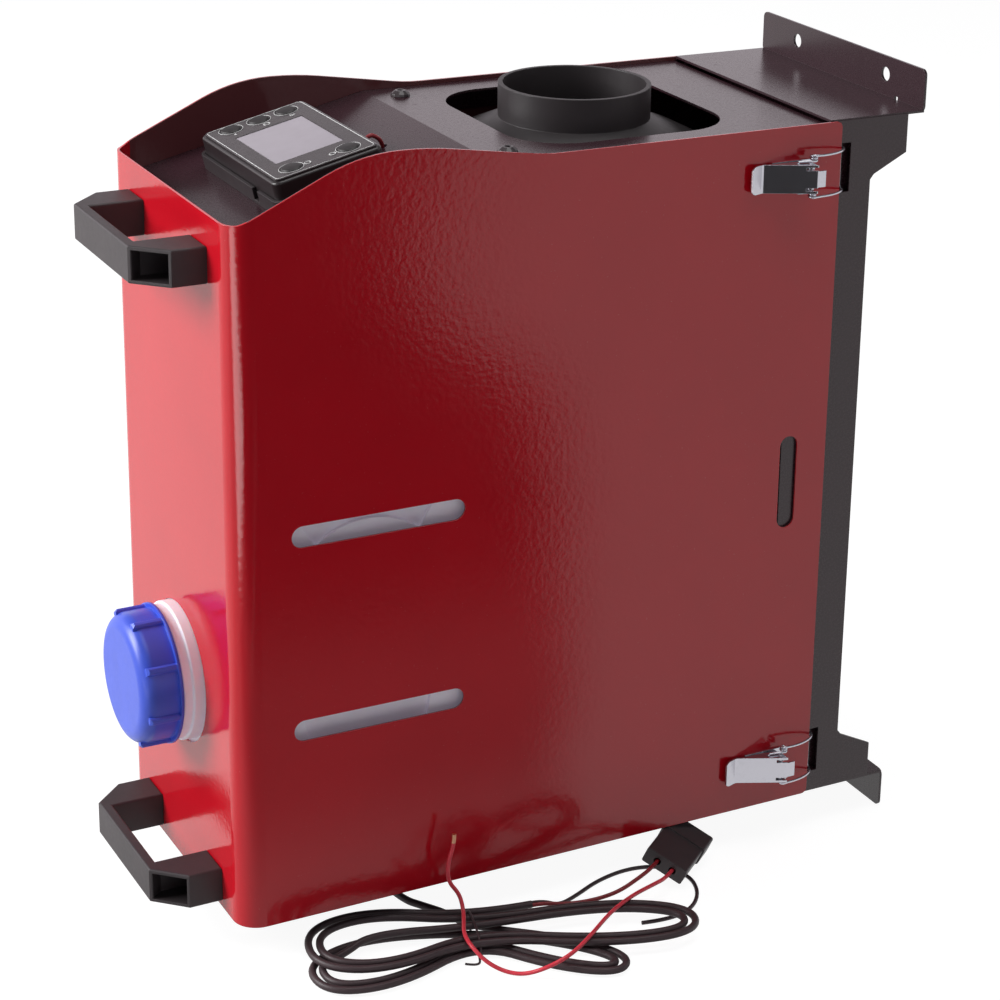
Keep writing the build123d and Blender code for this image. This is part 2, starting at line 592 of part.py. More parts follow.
def fuel_tank():
    tank = tank_body(0)
    base_r, base_end = collar_r + shoulder_out, -sheet - fit
    collar = turned([(0, -tank_y0 - 4), (base_r, -tank_y0 - 4), (base_r, base_end),
                     (collar_r, base_end), (collar_r, collar_end),
                     (collar_r - 1.2, collar_end + 0.6), (collar_r - 1.2, neck_step_end),
                     (neck_r, neck_step_end), (neck_r, neck_end), (0, neck_end)])
    tank += FRONT * collar
    tank -= tank_body(tank_wall)
    tank -= FRONT * Pos(0, 0, 0) * Cylinder(neck_bore_r, 2 * neck_end)
    tank -= Pos(pickup_x, pickup_y, tank_top) * Cylinder(pickup_r, 12)
    return tank


def filler_cap():
    r, top, roof = neck_r + cap_gap, cap_top, neck_end + liner_t + 0.2
    cap = turned([(0, top), (0, roof), (r, roof), (r, cap_rim_y), (cap_rim_r, cap_rim_y),
                  (cap_rim_r, cap_rim_y + 1.2), (cap_r, cap_rim_y + 1.2), (cap_r, top)])
    cap = fillet(cap.edges().filter_by(GeomType.CIRCLE).group_by(Axis.Z)[-1], cap_edge)
    out, base = cap_r + cap_rib_out, cap_rim_y + 1.2
    side = turned([(r + 0.2, base), (out, base), (out, cap_rib_y - 1.2), (out - 1.2, cap_rib_y),
                   (r + 0.2, cap_rib_y)])
    rib = Pos(cap_r, 0, base) * extrude(Circle(cap_rib_w / 2), top - base) & side
    for i in range(cap_ribs):
        cap += Rot(0, 0, cap_phase + i * 360 / cap_ribs) * rib
    return FRONT * cap


def cap_liner():
    return FRONT * Pos(0, 0, neck_end + 0.1 + liner_t / 2) * Cylinder(neck_r - 0.3, liner_t)


def pickup_pipe():
    pipe = rod((pickup_x, pickup_y, 16), (pickup_x, pickup_y, tank_top + 16), pickup_r - 0.1)
    nut = Pos(pickup_x, pickup_y, tank_top) * extrude(RegularPolygon(7.5, 6), 5)
    return pipe + nut


# ---- heater --------------------------------------------------------------------------------
def casing_shape(inset):
    return RectangleRounded(casing_w - 2 * inset, casing_d - 2 * inset, casing_r - inset)


def casing():
    h = casing_z1 - casing_z0
    shell = extrude(casing_shape(0), h) - Pos(0, 0, casing_wall) * extrude(casing_shape(casing_wall), h)
    shell -= Cylinder(inlet_r - 3, 20)
    # inlet grille: three rings on eight spokes
    grille = Sketch()
    for r in (12, 22, 32):
        grille += Circle(r) - Circle(r - 1.6)
    for i in range(4):
        grille += Rot(0, 0, 45 * i + 22.5) * Rectangle(2 * inlet_r - 4, 1.8)
    grille -= Circle(10)
    shell += extrude(grille + (Circle(12) - Circle(10)), casing_wall)
    # the heater's base goes out through the rear wall
    w = pedestal_w / 2 + fit
    shell = Pos(0, 0, casing_z0) * shell
    return shell - block((-w, w), (10, casing_d), (pedestal_z0 - fit, pedestal_z1 + fit))


def casing_front():
    return AXIS * (casing() & block((-casing_w, casing_w), (-casing_d, 0), (0, cover_h)))


def casing_rear():
    return AXIS * (casing() & block((-casing_w, casing_w), (0, casing_d), (0, cover_h)))


def hood_solid(inset, top):
    """Collar, flare and skirt of the outlet, moved in by an inset."""
    r, z_flare = outlet_r - inset, outlet_top - outlet_len
    low = z_flare - hood_drop
    spread = hood_d / 2 - outlet_r
    cone = Pos(0, 0, z_flare - (spread + 10) / 2 * hood_drop / spread) * Cone(
        r + spread + 10, r, (spread + 10) * hood_drop / spread)
    skirt = extrude(RectangleRounded(hood_w - 2 * inset, hood_d - 2 * inset, casing_r - inset),
                    top - casing_z1)
    body = Pos(0, 0, casing_z1 - inset) * skirt
    body &= cone + Pos(0, 0, (casing_z1 + low) / 2 - 5) * Cylinder(hood_d, low - casing_z1 + 10)
    return body + Pos(0, 0, (top + z_flare) / 2) * Cylinder(r, top - z_flare + 0.02)


def duct_outlet():
    hood = hood_solid(0, outlet_top)
    flange = Pos(0, 0, casing_z1) * extrude(casing_shape(0), outlet_wall)
    hood += flange
    return AXIS * (hood - hood_solid(outlet_wall, outlet_top + 5))


def heat_exchanger():
    body = Pos(0, 0, exch_z0) * extrude(Circle(exch_r), exch_z1 - exch_z0)
    fin_zone = extrude(RectangleRounded(casing_w - 14, casing_d - 14, casing_r - 7),
                       exch_z1 - exch_z0 - 16)
    fan_of_fins = Part()
    for i in range(fins):
        fin = Rot(0, 0, (i + 0.5) * 360 / fins) * block((exch_r - 1, casing_d), (-fin_t / 2, fin_t / 2),
                                                        (0, exch_z1 - exch_z0 - 16))
        fan_of_fins += fin
    body += Pos(0, 0, exch_z0 + 8) * (fan_of_fins & fin_zone)
    # blower housing below, base pedestal to the rear with both pipe stubs
    volute_r = blower_r + 9
    body += Pos(0, 0, motor_z1 + 3) * extrude(Circle(volute_r), exch_z0 - motor_z1 - 3)
    p = pedestal_w / 2
    y1 = shelf_y - gasket_t - duct_y
    body += block((-p, p), (10, y1), (pedestal_z0, pedestal_z1))
    body -= Pos(0, 0, motor_z1) * extrude(Circle(blower_r + 1.5), exch_z0 - motor_z1 - 4)
    body -= Pos(0, 0, exch_z0 - 6) * extrude(Circle(exch_r - exch_wall), exch_z1 - exch_z0)
    for x, z, r in stubs()[:2]:
        pipe = rod((x, 30, z), (x, stub_end - duct_y, z), r)
        pipe += rod((x, 30, z), (x, shelf_y + shelf_t + 1 - duct_y, z), r + stub_shoulder)
        body += pipe - block((-p, p), (0, y1 - 1), (0, cover_h))
        body -= rod((x, y1 - 25, z), (x, stub_end, z), r - stub_wall)
    for x, z, r in stubs()[2:]:
        body -= rod((x, 0, z), (x, y1 + 1, z), r + 0.1)
    return AXIS * body


def burner():
    tube_wall = Circle(burner_r) - Circle(burner_r - burner_wall)
    cup = Pos(0, 0, exch_z0 - 4) * extrude(tube_wall, burner_z1 - exch_z0 + 4)
    cup += Pos(0, 0, exch_z0 - 4) * extrude(Circle(exch_r - exch_wall - 0.1) - Circle(8), 3)
    cup -= rod((plug_x, 0, plug_z), (plug_x, exch_r, plug_z), plug_r + 0.1)
    y0 = sqrt(burner_r ** 2 - fuel_x ** 2) - 1.0
    cup += rod((fuel_x, y0, fuel_z), (fuel_x, shelf_y - duct_y + 22, fuel_z), fuel_r)
    return AXIS * cup


def glow_plug():
    """Pin into the burner, hex body, terminal stud behind the bracket."""
    y1 = shelf_y + shelf_t - duct_y
    plug = rod((plug_x, 12, plug_z), (plug_x, y1, plug_z), plug_r - 0.1)
    hexagon = Plane((plug_x, y1, plug_z), z_dir=(0, 1, 0)) * RegularPolygon(5.5, 6)
    plug += extrude(hexagon, 6)
    return AXIS * (plug + rod((plug_x, y1 + 6, plug_z), (plug_x, y1 + 13, plug_z), 2.0))


def drive_motor():
    motor = Pos(0, 0, (motor_z0 + motor_z1) / 2) * Cylinder(motor_r, motor_z1 - motor_z0)
    motor += Pos(0, 0, motor_z1 + 1.5) * Cylinder(blower_r + 9, 3)
    motor += Pos(0, 0, motor_z0 - 3) * Cylinder(8, 6)
    return AXIS * (motor - Cylinder(shaft_r + run_fit, 2 * cover_h))


def rotor_shaft():
    return AXIS * rod((0, 0, fan_z0 - 3), (0, 0, blower_z + blower_h + 2), shaft_r)


def heating_fan():
    """Axial fan with pitched blades on a domed hub."""
    hub = Pos(0, 0, fan_z0) * extrude(Circle(fan_hub_r), fan_h)
    blade = Pos((fan_hub_r + fan_r) / 2 - 1, 0, fan_z0 + fan_h / 2) * Rot(32, 0, 0) * Box(
        fan_r - fan_hub_r + 2, 1.6, fan_h * 1.05)
    for i in range(fan_blades):
        hub += Rot(0, 0, i * 360 / fan_blades) * blade
    return AXIS * (hub - Cylinder(shaft_r, 2 * cover_h))


def combustion_fan():
    """Radial blower wheel: a disc with straight vanes."""
    wheel = Pos(0, 0, blower_z) * extrude(Circle(blower_r), 1.6)
    wheel += Pos(0, 0, blower_z) * extrude(Circle(9), blower_h)
    for i in range(blower_vanes):
        wheel += Rot(0, 0, i * 360 / blower_vanes) * block(
            (8, blower_r), (-0.7, 0.7), (blower_z + 1, blower_z + blower_h))
    return AXIS * (wheel - Cylinder(shaft_r, 2 * cover_h))


def control_unit():
    """Electronics box between the motor and the casing's front wall."""
    y0 = -casing_d / 2 + casing_wall
    box = block((-25, 25), (y0, y0 + 22), (motor_z0 - 6, motor_z0 + 34))
    box += block((-14, 14), (y0 + 4, y0 + 16), (motor_z0 + 34, motor_z0 + 41))
    return AXIS * box


def base_gasket():
    """Seal between the heater's base and the bracket."""
    p = pedestal_w / 2
    seal = block((-p, p), (shelf_y - gasket_t, shelf_y), (pedestal_z0, pedestal_z1))
    for x, z, r in stubs():
        seal -= rod((x, shelf_y - 5, z), (x, shelf_y + 5, z), r + stub_shoulder + fit)
    return seal


# ---- fuel line -----------------------------------------------------------------------------
def fuel_filter():
    x, y = filter_x, pump_y
    body = Pos(x, y, (filter_z0 + filter_z1) / 2) * Cylinder(filter_r, filter_z1 - filter_z0 - 10)
    body += Pos(x, y, filter_z1 - 3.5) * Cone(filter_r, pickup_r, 3)
    body += Pos(x, y, filter_z0 + 3.5) * Cone(pickup_r, filter_r, 3)
    body += rod((x, y, filter_z0 - barb), (x, y, filter_z0 + 8), pickup_r)
    return body + rod((x, y, filter_z1 - 8), (x, y, filter_z1 + barb), pickup_r)


def pump_body():
    h = pump_z1 - pump_z0
    pump = Pos(0, 0, pump_z0) * (extrude(Circle(pump_r), h) - Pos(0, 0, 20) * extrude(
        Circle(plunger_r + run_fit), plunger_len + 2 * plunger_travel + 8))
    pump += rod((0, 0, pump_z0 - barb), (0, 0, pump_z0 + 2), pickup_r)
    pump += rod((0, 0, pump_z1 - 2), (0, 0, pump_z1 + 12), 1.9)
    pump += block((pump_r - 3, pump_r + 8), (-6, 6), (pump_z1 - 18, pump_z1 - 6))
    return Pos(pump_x, pump_y) * pump


def pump_plunger():
    z0 = pump_z0 + 20.3
    return Pos(pump_x, pump_y, z0) * extrude(Circle(plunger_r), plunger_len)


def pump_clamp():
    """Rubber band round the pump with a stem to the back wall."""
    z0, z1 = pump_z0 + 22, pump_z0 + 36
    ring = Pos(pump_x, pump_y, z0) * extrude(Circle(pump_r + 3.5) - Circle(pump_r + 0.1), z1 - z0)
    stem = block((pump_x - 7, pump_x + 7), (pump_y + pump_r + 2, back_y - sheet), (z0, z1))
    return ring + stem


def fuel_hoses():
    """Rubber hoses: tank to filter, filter to pump."""
    z_top, x_side = tank_top + 31, half - 12.5
    first = [(pickup_x, pickup_y, tank_top + 16), (pickup_x, pickup_y, z_top - 6),
             (pickup_x + 9, pickup_y + 24, z_top - 2), (x_side, duct_y - 40, z_top),
             (x_side, duct_y + 15, z_top), (x_side, pump_y - 32, z_top - 5),
             (filter_x + 4, pump_y - 4, z_top - 20), (filter_x, pump_y, filter_z1 + 15),
             (filter_x, pump_y, filter_z1 + barb)]
    second = [(filter_x, pump_y, filter_z0 - barb), (filter_x, pump_y, filter_z0 - 16),
              (filter_x - 9, pump_y, pump_z0 - 27), (pump_x + 12, pump_y, pump_z0 - 32),
              (pump_x, pump_y, pump_z0 - 22), (pump_x, pump_y, pump_z0 - barb)]
    return [tube(pts, soft_radii(pts), hose_r) for pts in (first, second)]


def delivery_line():
    """Thin hard line from the pump's outlet to the heater's fuel pipe."""
    end = shelf_y + 22
    pts = [(pump_x, pump_y, pump_z1 + 12.2), (pump_x, pump_y, pump_z1 + 20),
           (pump_x + 10, pump_y, pump_z1 + 25), (pump_x + 25, pump_y, pump_z1 + 12),
           (fuel_x + 16, pump_y + 8, 250), (fuel_x + 12, pump_y + 14, 205),
           (fuel_x, end + 14, fuel_z + 1), (fuel_x, end + 0.2, fuel_z)]
    return tube(pts, soft_radii(pts), line_r)


# ---- wiring --------------------------------------------------------------------------------
floor_z = -floor_drop
cable_z = floor_z + cable_r
hank_z = floor_z + 2 * tie_r + 0.1 + cable_r        # the hank lies on its tie
top_z = hank_z + 2 * cable_r + layer_gap
lead_z = floor_z + lead_r + 0.1
hank_start, hank_lead = (64.0, 96.0, hank_z), (0.845, 0.535, 0.0)


def cable_grommet():
    z = sheet
    ring = turned([(cable_r + 0.05, -2.0), (grommet_r, -2.0), (grommet_r, -0.1),
                   (grommet_r - 2.2, -0.1), (grommet_r - 2.2, z + 0.1), (grommet_r, z + 0.1),
                   (grommet_r, z + 2.0), (cable_r + 0.05, z + 2.0)])
    return Pos(grommet_x, grommet_y, rim_step) * ring


def harness_cable():
    """From inside the box down through the grommet and out over the floor to the hank."""
    x, y, end = grommet_x, grommet_y, Vector(*hank_start)
    before = end - Vector(*hank_lead) * 12
    pts = [(x, y, rim_step + 4), (x, y, rim_step - 7.5), (x + 1, y - 7, -14.5),
           (x + 3, y - 19, cable_z), (x + 6, y - 33, cable_z), (x + 17, y - 51, cable_z),
           (x + 35, y - 64, cable_z), tuple(before), tuple(end)]
    return cord("harness_cable", pts, cable_r)


def lobe(angle, reach, width):
    """Corner points of one end of a loop, seen from the waist, on the left first."""
    a = radians(angle)
    along, across = Vector(cos(a), sin(a), 0), Vector(-sin(a), cos(a), 0)
    near, far = along * (reach * 0.6), along * reach
    return [near + across * width, far + across * (width * 0.6),
            far - across * (width * 0.6), near - across * width]


def hank_route():
    """Two layers of loops drawn in at the waist: inward on the floor, outward on top."""
    a = radians(hank_angle)
    left = Vector(-sin(a), cos(a), 0)
    start = Vector(*hank_start)
    pts = [start, start + Vector(*hank_lead) * 13]
    for layer, z in enumerate((hank_z, top_z)):
        waist = Vector(hank_x, hank_y, z)
        low, high = hank_lobes[layer]
        for turn in range(hank_turns):
            step = (hank_turns - 1 - turn if layer == 0 else turn) * hank_pitch
            off = hank_pitch / 2 if layer == 0 else 0
            rear = lobe(high[0], high[1] + step, high[2] + step)
            front = lobe(low[0], low[1] + step, low[2] + step)
            if layer == 0 and turn == hank_turns - 1:
                front.insert(3, front[2] * 0.5 + front[3] * 0.5)
                front[4] += Vector(0, 0, top_z - hank_z)
            loop = [left * (off + step)] + rear + [left * (off - hank_pitch - step)] + front
            pts += [waist + p for p in loop]
    last = Vector(hank_x, hank_y, top_z) + left * (hank_turns * hank_pitch)
    tail = last + Vector(cos(a), sin(a), 0) * 31 + left * 4
    return [tuple(p) for p in pts + [last, tail]]


def least_gap(path, r, step=1.6):
    """Smallest distance between stretches of a tube that aren't neighbours."""
    count = int(path.length / step)
    pts = [path @ (i / count) for i in range(count + 1)]
    skip = int(5 * r / step) + 2
    return min((a - b).length for i, a in enumerate(pts) for b in pts[i + skip:]) - 2 * r


def cable_hank():
    pts = hank_route()
    hank = cord("cable_hank", pts, cable_r, 6)
    gap = least_gap(FilletPolyline(*pts, radius=soft_radii(pts)), cable_r)
    print(f"cable_hank: least gap to itself {gap:.2f} mm")
    return hank


def cable_tie():
    """A twist of wire round the waist, with its tail on the floor."""
    a = radians(hank_angle)
    low, high = floor_z + tie_r, top_z + cable_r + 0.3 + tie_r
    ring = [(tie_right + 2.5, -8, low), (tie_right + 5, -3, low), (tie_right + 1.5, 0, low),
            (-tie_left, 0, low), (-tie_left, 0, high), (tie_right, 0, high),
            (tie_right, 0, low + 2 * tie_r + 0.8)]
    pts = [(hank_x + s * sin(a) + t * cos(a), hank_y - s * cos(a) + t * sin(a), z)
           for s, t, z in ring]
    return tube(pts, [2.0, 1.2, 1.5, 1.5, 1.5], tie_r, 6)


def fuse_frame():
    """Lowest corner of the fuse holder's wire end, with axes across, up and along it."""
    turn, roll = radians(fuse_turn), radians(fuse_roll)
    along = Vector(cos(turn), sin(turn), 0)
    level = Vector(sin(turn), -cos(turn), 0)
    across = level * -cos(roll) + Vector(0, 0, sin(roll))
    return Plane(origin=fuse_at, x_dir=across, z_dir=along)


def fuse_holder():
    """Moulded holder leaning on one edge, with two wire entries and a lidded fuse pocket."""
    body = Pos(fuse_w / 2, fuse_t / 2) * extrude(RectangleRounded(fuse_w, fuse_t, 1.0), fuse_l)
    lid = Pos(fuse_w / 2, fuse_t / 2) * extrude(
        RectangleRounded(fuse_w + 1.6, fuse_t + 1.6, 1.4), fuse_l * 0.36)
    body += Pos(0, 0, fuse_l * 0.64) * lid
    for spot in wire_entries():
        body -= Pos(*spot) * extrude(Circle(lead_r + 0.9), 5)
    return fuse_frame().location * body


def wire_entries():
    return ((fuse_w * 0.3, fuse_t / 2), (fuse_w * 0.68, fuse_t / 2))


def at_entry(index, out):
    """A point this far out of one of the fuse holder's wire entries."""
    x, y = wire_entries()[index]
    return tuple(fuse_frame().from_local_coords(Vector(x, y, -out)))


def lead_red():
    """From the fuse holder over the hank to a free end that stands up, its tip stripped."""
    pts = [at_entry(0, -4.9), at_entry(0, 7), (106.5, 198.5, -9.6), (111.5, 184.0, -9.2),
           (120.0, 167.5, -9.4), (133.5, 150.5, -9.2), (144.0, 135.5, -9.4), (145.5, 122.5, -12.5),
           (138.5, 113.5, -18.2), (131.5, 106.5, lead_z), (126.0, 99.0, -14.5),
           (118.0, 94.8, -8.9), (106.5, 96.8, -9.0), (96.5, 101.8, -9.0), (89.6, 104.6, -6.5),
           (86.6, 104.0, -0.5), (85.8, 98.5, 7.0), (86.0, 98.2, 16.5), (86.0, 101.4, 26.5),
           (86.0, 101.4, 31.5)]
    return cord("lead_red", pts, lead_r, 6)


def feed_wires():
    """Red and black wires from the cable's end: to the fuse holder, and round behind it."""
    end = Vector(*hank_route()[-1])
    along = (end - Vector(*hank_route()[-2])).normalized()
    side = along.cross(Vector(0, 0, 1)).normalized() * (lead_r + 0.05)
    red, black = end + side, end - side
    red_pts = [tuple(red), tuple(red + along * 6), (98.4, 155.0, -13.4), (101.0, 169.0, -13.4),
               (101.5, 182.0, -12.0), (99.0, 194.0, -9.2), at_entry(1, 6), at_entry(1, -4.9)]
    black_pts = [tuple(black), tuple(black + along * 6), (93.0, 154.0, -16.5), (85.5, 167.0, lead_z),
                 (77.0, 184.0, lead_z), (73.5, 203.0, lead_z), (78.5, 219.0, lead_z),
                 (93.0, 227.0, lead_z), (109.0, 223.0, lead_z), (121.0, 212.0, lead_z),
                 (124.5, 197.0, lead_z), (121.5, 184.0, lead_z)]
    return [cord("feed wire, red", red_pts, lead_r, 6),
            cord("feed wire, black", black_pts, lead_r, 6)]


# ---- write the pieces ----------------------------------------------------------------------
pieces = {
    "red_cover": red_cover, "top_panel": top_panel, "base_pan": base_pan, "chassis": chassis,
    "handle_upper": lambda: handle(handle_z[1]), "handle_lower": lambda: handle(handle_z[0]),
    "button_screws": button_screws, "latch_rivets": latch_rivets,
    "controller_cradle": controller_cradle, "controller_case": controller_case,
    "controller_face": controller_face, "lcd_screen": lcd_screen,
    "controller_board": controller_board, "controller_lead": controller_lead,
    "fuel_tank": fuel_tank, "filler_cap": filler_cap, "cap_liner": cap_liner,
    "pickup_pipe": pickup_pipe, "casing_front": casing_front, "casing_rear": casing_rear,
    "duct_outlet": duct_outlet, "heat_exchanger": heat_exchanger, "burner": burner,
    "glow_plug": glow_plug, "drive_motor": drive_motor, "rotor_shaft": rotor_shaft,
    "heating_fan": heating_fan, "combustion_fan": combustion_fan, "control_unit": control_unit,
    "base_gasket": base_gasket, "fuel_filter": fuel_filter, "pump_body": pump_body,
    "pump_plunger": pump_plunger, "pump_clamp": pump_clamp, "fuel_hoses": fuel_hoses,
    "delivery_line": delivery_line, "cable_grommet": cable_grommet, "cable_hank": cable_hank,
    "harness_cable": harness_cable, "cable_tie": cable_tie, "fuse_holder": fuse_holder,
    "lead_red": lead_red, "feed_wires": feed_wires,
}
for key_name, key_spot in keys.items():
    pieces[key_name] = lambda spot=key_spot: key(spot)
for ending, (side, z) in latch_places().items():
    pieces["latch_base_" + ending] = lambda s=side, z=z: at_latch(latch_base(), s, z)
    pieces["latch_lever_" + ending] = lambda s=side, z=z: at_latch(latch_lever(), s, z)
    pieces["latch_bail_" + ending] = lambda s=side, z=z: at_latch(latch_bail(), s, z)

os.makedirs("parts", exist_ok=True)
to_mount = Location((0, -flange_y, -mount_z))
for name, make in pieces.items():
    made = make()
    solids = made if isinstance(made, list) else [made]
    found = [s for shape in solids for s in (to_mount * shape).solids()]
    export_step(Compound(found) if len(found) > 1 else found[0], f"parts/{name}.step")
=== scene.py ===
"""Looks of a portable diesel air heater: finishes, cords, latches' wire loops and a studio."""
import math

import bmesh
import bpy
from mathutils import Matrix, Vector


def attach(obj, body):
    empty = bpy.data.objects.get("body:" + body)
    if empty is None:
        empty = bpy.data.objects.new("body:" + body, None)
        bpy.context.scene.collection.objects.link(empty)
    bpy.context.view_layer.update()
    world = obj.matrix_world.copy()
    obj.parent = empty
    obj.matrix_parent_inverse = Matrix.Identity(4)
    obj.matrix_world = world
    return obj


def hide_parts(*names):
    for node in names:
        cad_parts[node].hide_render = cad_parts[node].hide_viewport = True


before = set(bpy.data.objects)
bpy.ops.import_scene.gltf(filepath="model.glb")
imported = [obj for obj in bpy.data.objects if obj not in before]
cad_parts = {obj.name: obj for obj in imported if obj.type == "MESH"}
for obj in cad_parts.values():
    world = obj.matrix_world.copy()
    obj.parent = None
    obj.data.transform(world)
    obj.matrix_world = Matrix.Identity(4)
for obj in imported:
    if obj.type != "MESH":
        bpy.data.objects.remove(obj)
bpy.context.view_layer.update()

# ---- places: millimetres from the cover's front face and bottom edge ------------------------
MM = 0.001
FLANGE_Y = 353.6            # rear face of the wall flanges, where the frame's origin is
MOUNT_Z = 363.0             # height of the upper flange's holes
BODY = "heater_box"

FLOOR_Z = -20.0
SIDE_X = 75.0               # half of the cover's width
SHEET, BEND_DEPTH = 1.2, 9.0            # the cover's thickness, and how deep its bends reach
CABLE_R, WIRE_R, TIE_R = 1.8, 1.0, 0.55
TIP_Z = 27.0                # above this the upright lead is stripped

# controller: foot on the sloped panel, its slope, and the height of its printed face
CTRL_Y, CTRL_Z, PANEL_TILT = 62.0, 334.871, math.radians(13.3)
FACE_Z = 15.8
KEY_SPOTS = {"up": (-37, 14), "ok": (-37, 0.2), "down": (-37, -13.8),
             "power": (35, 14), "settings": (35, -13.6)}

# studio: what lights the object all round, and what only its mirroring surfaces see
AMBIENT = 0.085             # plain light from every side
CEILING_FROM_TO = 0.34, 0.46            # rise of a mirrored ray where the pale horizon ends
HORIZON_COLOUR, CEILING_TONE = (1.10, 1.02, 1.08), 0.12
PAPER_GLOW, PAPER_SHADE = 0.93, 0.20    # of the floor for the camera: even white, and shadow
PAPER_BOUNCE = 0.62         # the floor's tone for the light that it throws back
LEFT_TONE = 0.95            # mirrored floor on the object's left and straight ahead
PAINTED_STRIP_TONE = 4.5            # painted reflection: tone of a floor strip, seen only in mirrors, that draws the light line on the cover's bend

# lamps: name, place in the frame, point of the case that they face, size in metres, power
LAMPS = (("key_from_front_left", (-0.75, -2.0, 0.8), (0, 0, 180), (1.1, 1.1), 57),
         ("overhead", (0.1, 0.0, 1.6), (20, 180, 180), (1.4, 1.2), 16),
         ("fill_from_right", (2.2, -0.2, 0.9), (75, 150, 180), (1.2, 1.2), 1.5))
TABLE_HALF = 6.0            # half of the table's side, in metres

# camera: solved from the straight edges of the case
CAMERA_AT = (1098.51, -384.85, 656.52)
CAMERA_TURN, CAMERA_RISE, CAMERA_ROLL = (math.radians(a) for a in (60.196, 19.200, 1.7756))
FOCAL_PX, CENTRE_PX, IMAGE_PX = 2698.4, (642.36, 365.95), 1000.0


def at(x, y, z):
    """A point of the case, in millimetres, as a place in the frame."""
    return Vector((x, y - FLANGE_Y, z - MOUNT_Z)) * MM


def on_controller(x, y, z=FACE_Z):
    """A point in the controller's own sloped frame."""
    c, s = math.cos(PANEL_TILT), math.sin(PANEL_TILT)
    return at(x, CTRL_Y + y * c - z * s, CTRL_Z + y * s + z * c)


# ---- finishes --------------------------------------------------------------------------------
class Value:
    """A socket that takes part in sums; each sum adds its Math node."""

    def __init__(self, finish, socket):
        self.finish = finish
        self.socket = socket

    def sum(self, operation, a, b):
        return self.finish.node("Math", {"operation": operation}, {0: a, 1: b})

    def __add__(self, other):
        return self.sum("ADD", self, other)

    def __mul__(self, other):
        return self.sum("MULTIPLY", self, other)

    def __sub__(self, other):
        return self.sum("SUBTRACT", self, other)

    def __rsub__(self, other):
        return self.sum("SUBTRACT", other, self)

    def __gt__(self, other):
        return self.sum("GREATER_THAN", self, other)

    def __lt__(self, other):
        return self.sum("LESS_THAN", self, other)

    def __abs__(self):
        return self.finish.node("Math", {"operation": "ABSOLUTE"}, {0: self})

    __radd__ = __add__
    __rmul__ = __mul__


class Shading:
    """A shader tree that is written as expressions."""

    def __init__(self, tree, shader):
        self.tree = tree
        self.shader = shader
        self.place = self.node("TexCoord", out="Object")

    def set(self, name, value):
        socket = self.shader.inputs[name]
        if isinstance(value, Value):
            self.tree.links.new(value.socket, socket)
        else:
            socket.default_value = value

    def node(self, kind, settings=None, inputs=None, out=0):
        """Adds a node: its settings first, then the values or links of its sockets."""
        made = self.tree.nodes.new("ShaderNode" + kind)
        for name, value in (settings or {}).items():
            setattr(made, name, value)
        for name, value in (inputs or {}).items():
            if isinstance(value, Value):
                self.tree.links.new(value.socket, made.inputs[name])
            else:
                made.inputs[name].default_value = value
        return Value(self, made.outputs[out])

    def part(self, vector, axis):
        """One coordinate of a vector."""
        return self.node("SeparateXYZ", {}, {0: vector}, axis)

    def ray(self, kind):
        """1 on rays of this kind, else 0."""
        return self.node("LightPath", out="Is %s Ray" % kind)

    def noise(self, size_mm, detail=2.0, roughness=0.5, stretch=None):
        """Noise between 0 and 1 whose lumps are about this many millimetres across."""
        place = self.place
        if stretch:
            place = self.node("VectorMath", {"operation": "MULTIPLY"}, {0: place, 1: stretch})
        sockets = {"Vector": place, "Scale": 1 / (size_mm * MM), "Detail": detail,
                   "Roughness": roughness}
        return self.node("TexNoise", {}, sockets, "Fac")

    def band(self, value, low, high):
        """0 below low, 1 above high, and smooth between."""
        return self.node("MapRange", {"interpolation_type": "SMOOTHSTEP"},
                         {0: value, 1: low, 2: high})

    def blend(self, share, first, second):
        """From the first colour to the second."""
        ends = [c if isinstance(c, Value) else rgba(c) for c in (first, second)]
        return self.node("Mix", {"data_type": "RGBA"}, {0: share, 6: ends[0], 7: ends[1]}, 2)


class Finish(Shading):
    """A material whose surface is worked out from expressions."""

    def __init__(self, name, colour, roughness, **fixed):
        self.material = bpy.data.materials.new(name)
        self.material.use_nodes = True
        tree = self.material.node_tree
        super().__init__(tree, tree.nodes["Principled BSDF"])
        self.set("Base Color", rgba(colour))
        self.set("Roughness", roughness)
        for name, value in fixed.items():
            self.set(name.replace("_", " "), value)

    def relief(self, *layers, edge=0.0):
        """Bumps, each (height from 0 to 1, depth in mm), over edges rounded by this radius."""
        normal = None
        if edge:
            normal = self.node("Bevel", {"samples": 6}, {"Radius": edge * MM})
        for height, depth in layers:
            inputs = {"Height": height, "Distance": depth * MM, "Strength": 1.0}
            if normal:
                inputs["Normal"] = normal
            normal = self.node("Bump", {}, inputs)
        self.set("Normal", normal)


def rgba(colour):
    return (*colour, 1.0) if len(colour) == 3 else colour


def grey(level):
    return (level, level, level)


def red_paint():
    """Glossy red powder coat with orange peel and a little dust; coloured darker and browner
    inside the cover.
    """
    paint = Finish("red_powder_coat", (0.55, 0.005, 0.015), 0.1, IOR=1.5)
    cloud = paint.noise(60, 3)
    dust = paint.band(paint.noise(0.9, 0), 0.83, 0.86)
    body = paint.blend(cloud, (0.50, 0.004, 0.013), (0.60, 0.007, 0.018))
    outer = paint.blend(dust * 0.12, body, (0.70, 0.30, 0.30))
    # inside the cover, behind its front bends, the colour is made darker and browner
    behind_bend = paint.part(paint.place, 1) > at(0, BEND_DEPTH, 0).y
    inside = abs(paint.part(paint.place, 0)) < (SIDE_X - SHEET / 2) * MM
    paint.set("Base Color", paint.blend(inside * behind_bend, outer, (0.16, 0.045, 0.050)))
    paint.set("Roughness", 0.11 + 0.05 * paint.noise(9, 2))
    paint.relief((paint.noise(3.0, 1), 0.062), (paint.noise(1.2, 1), 0.016), edge=0.3)
    return paint.material


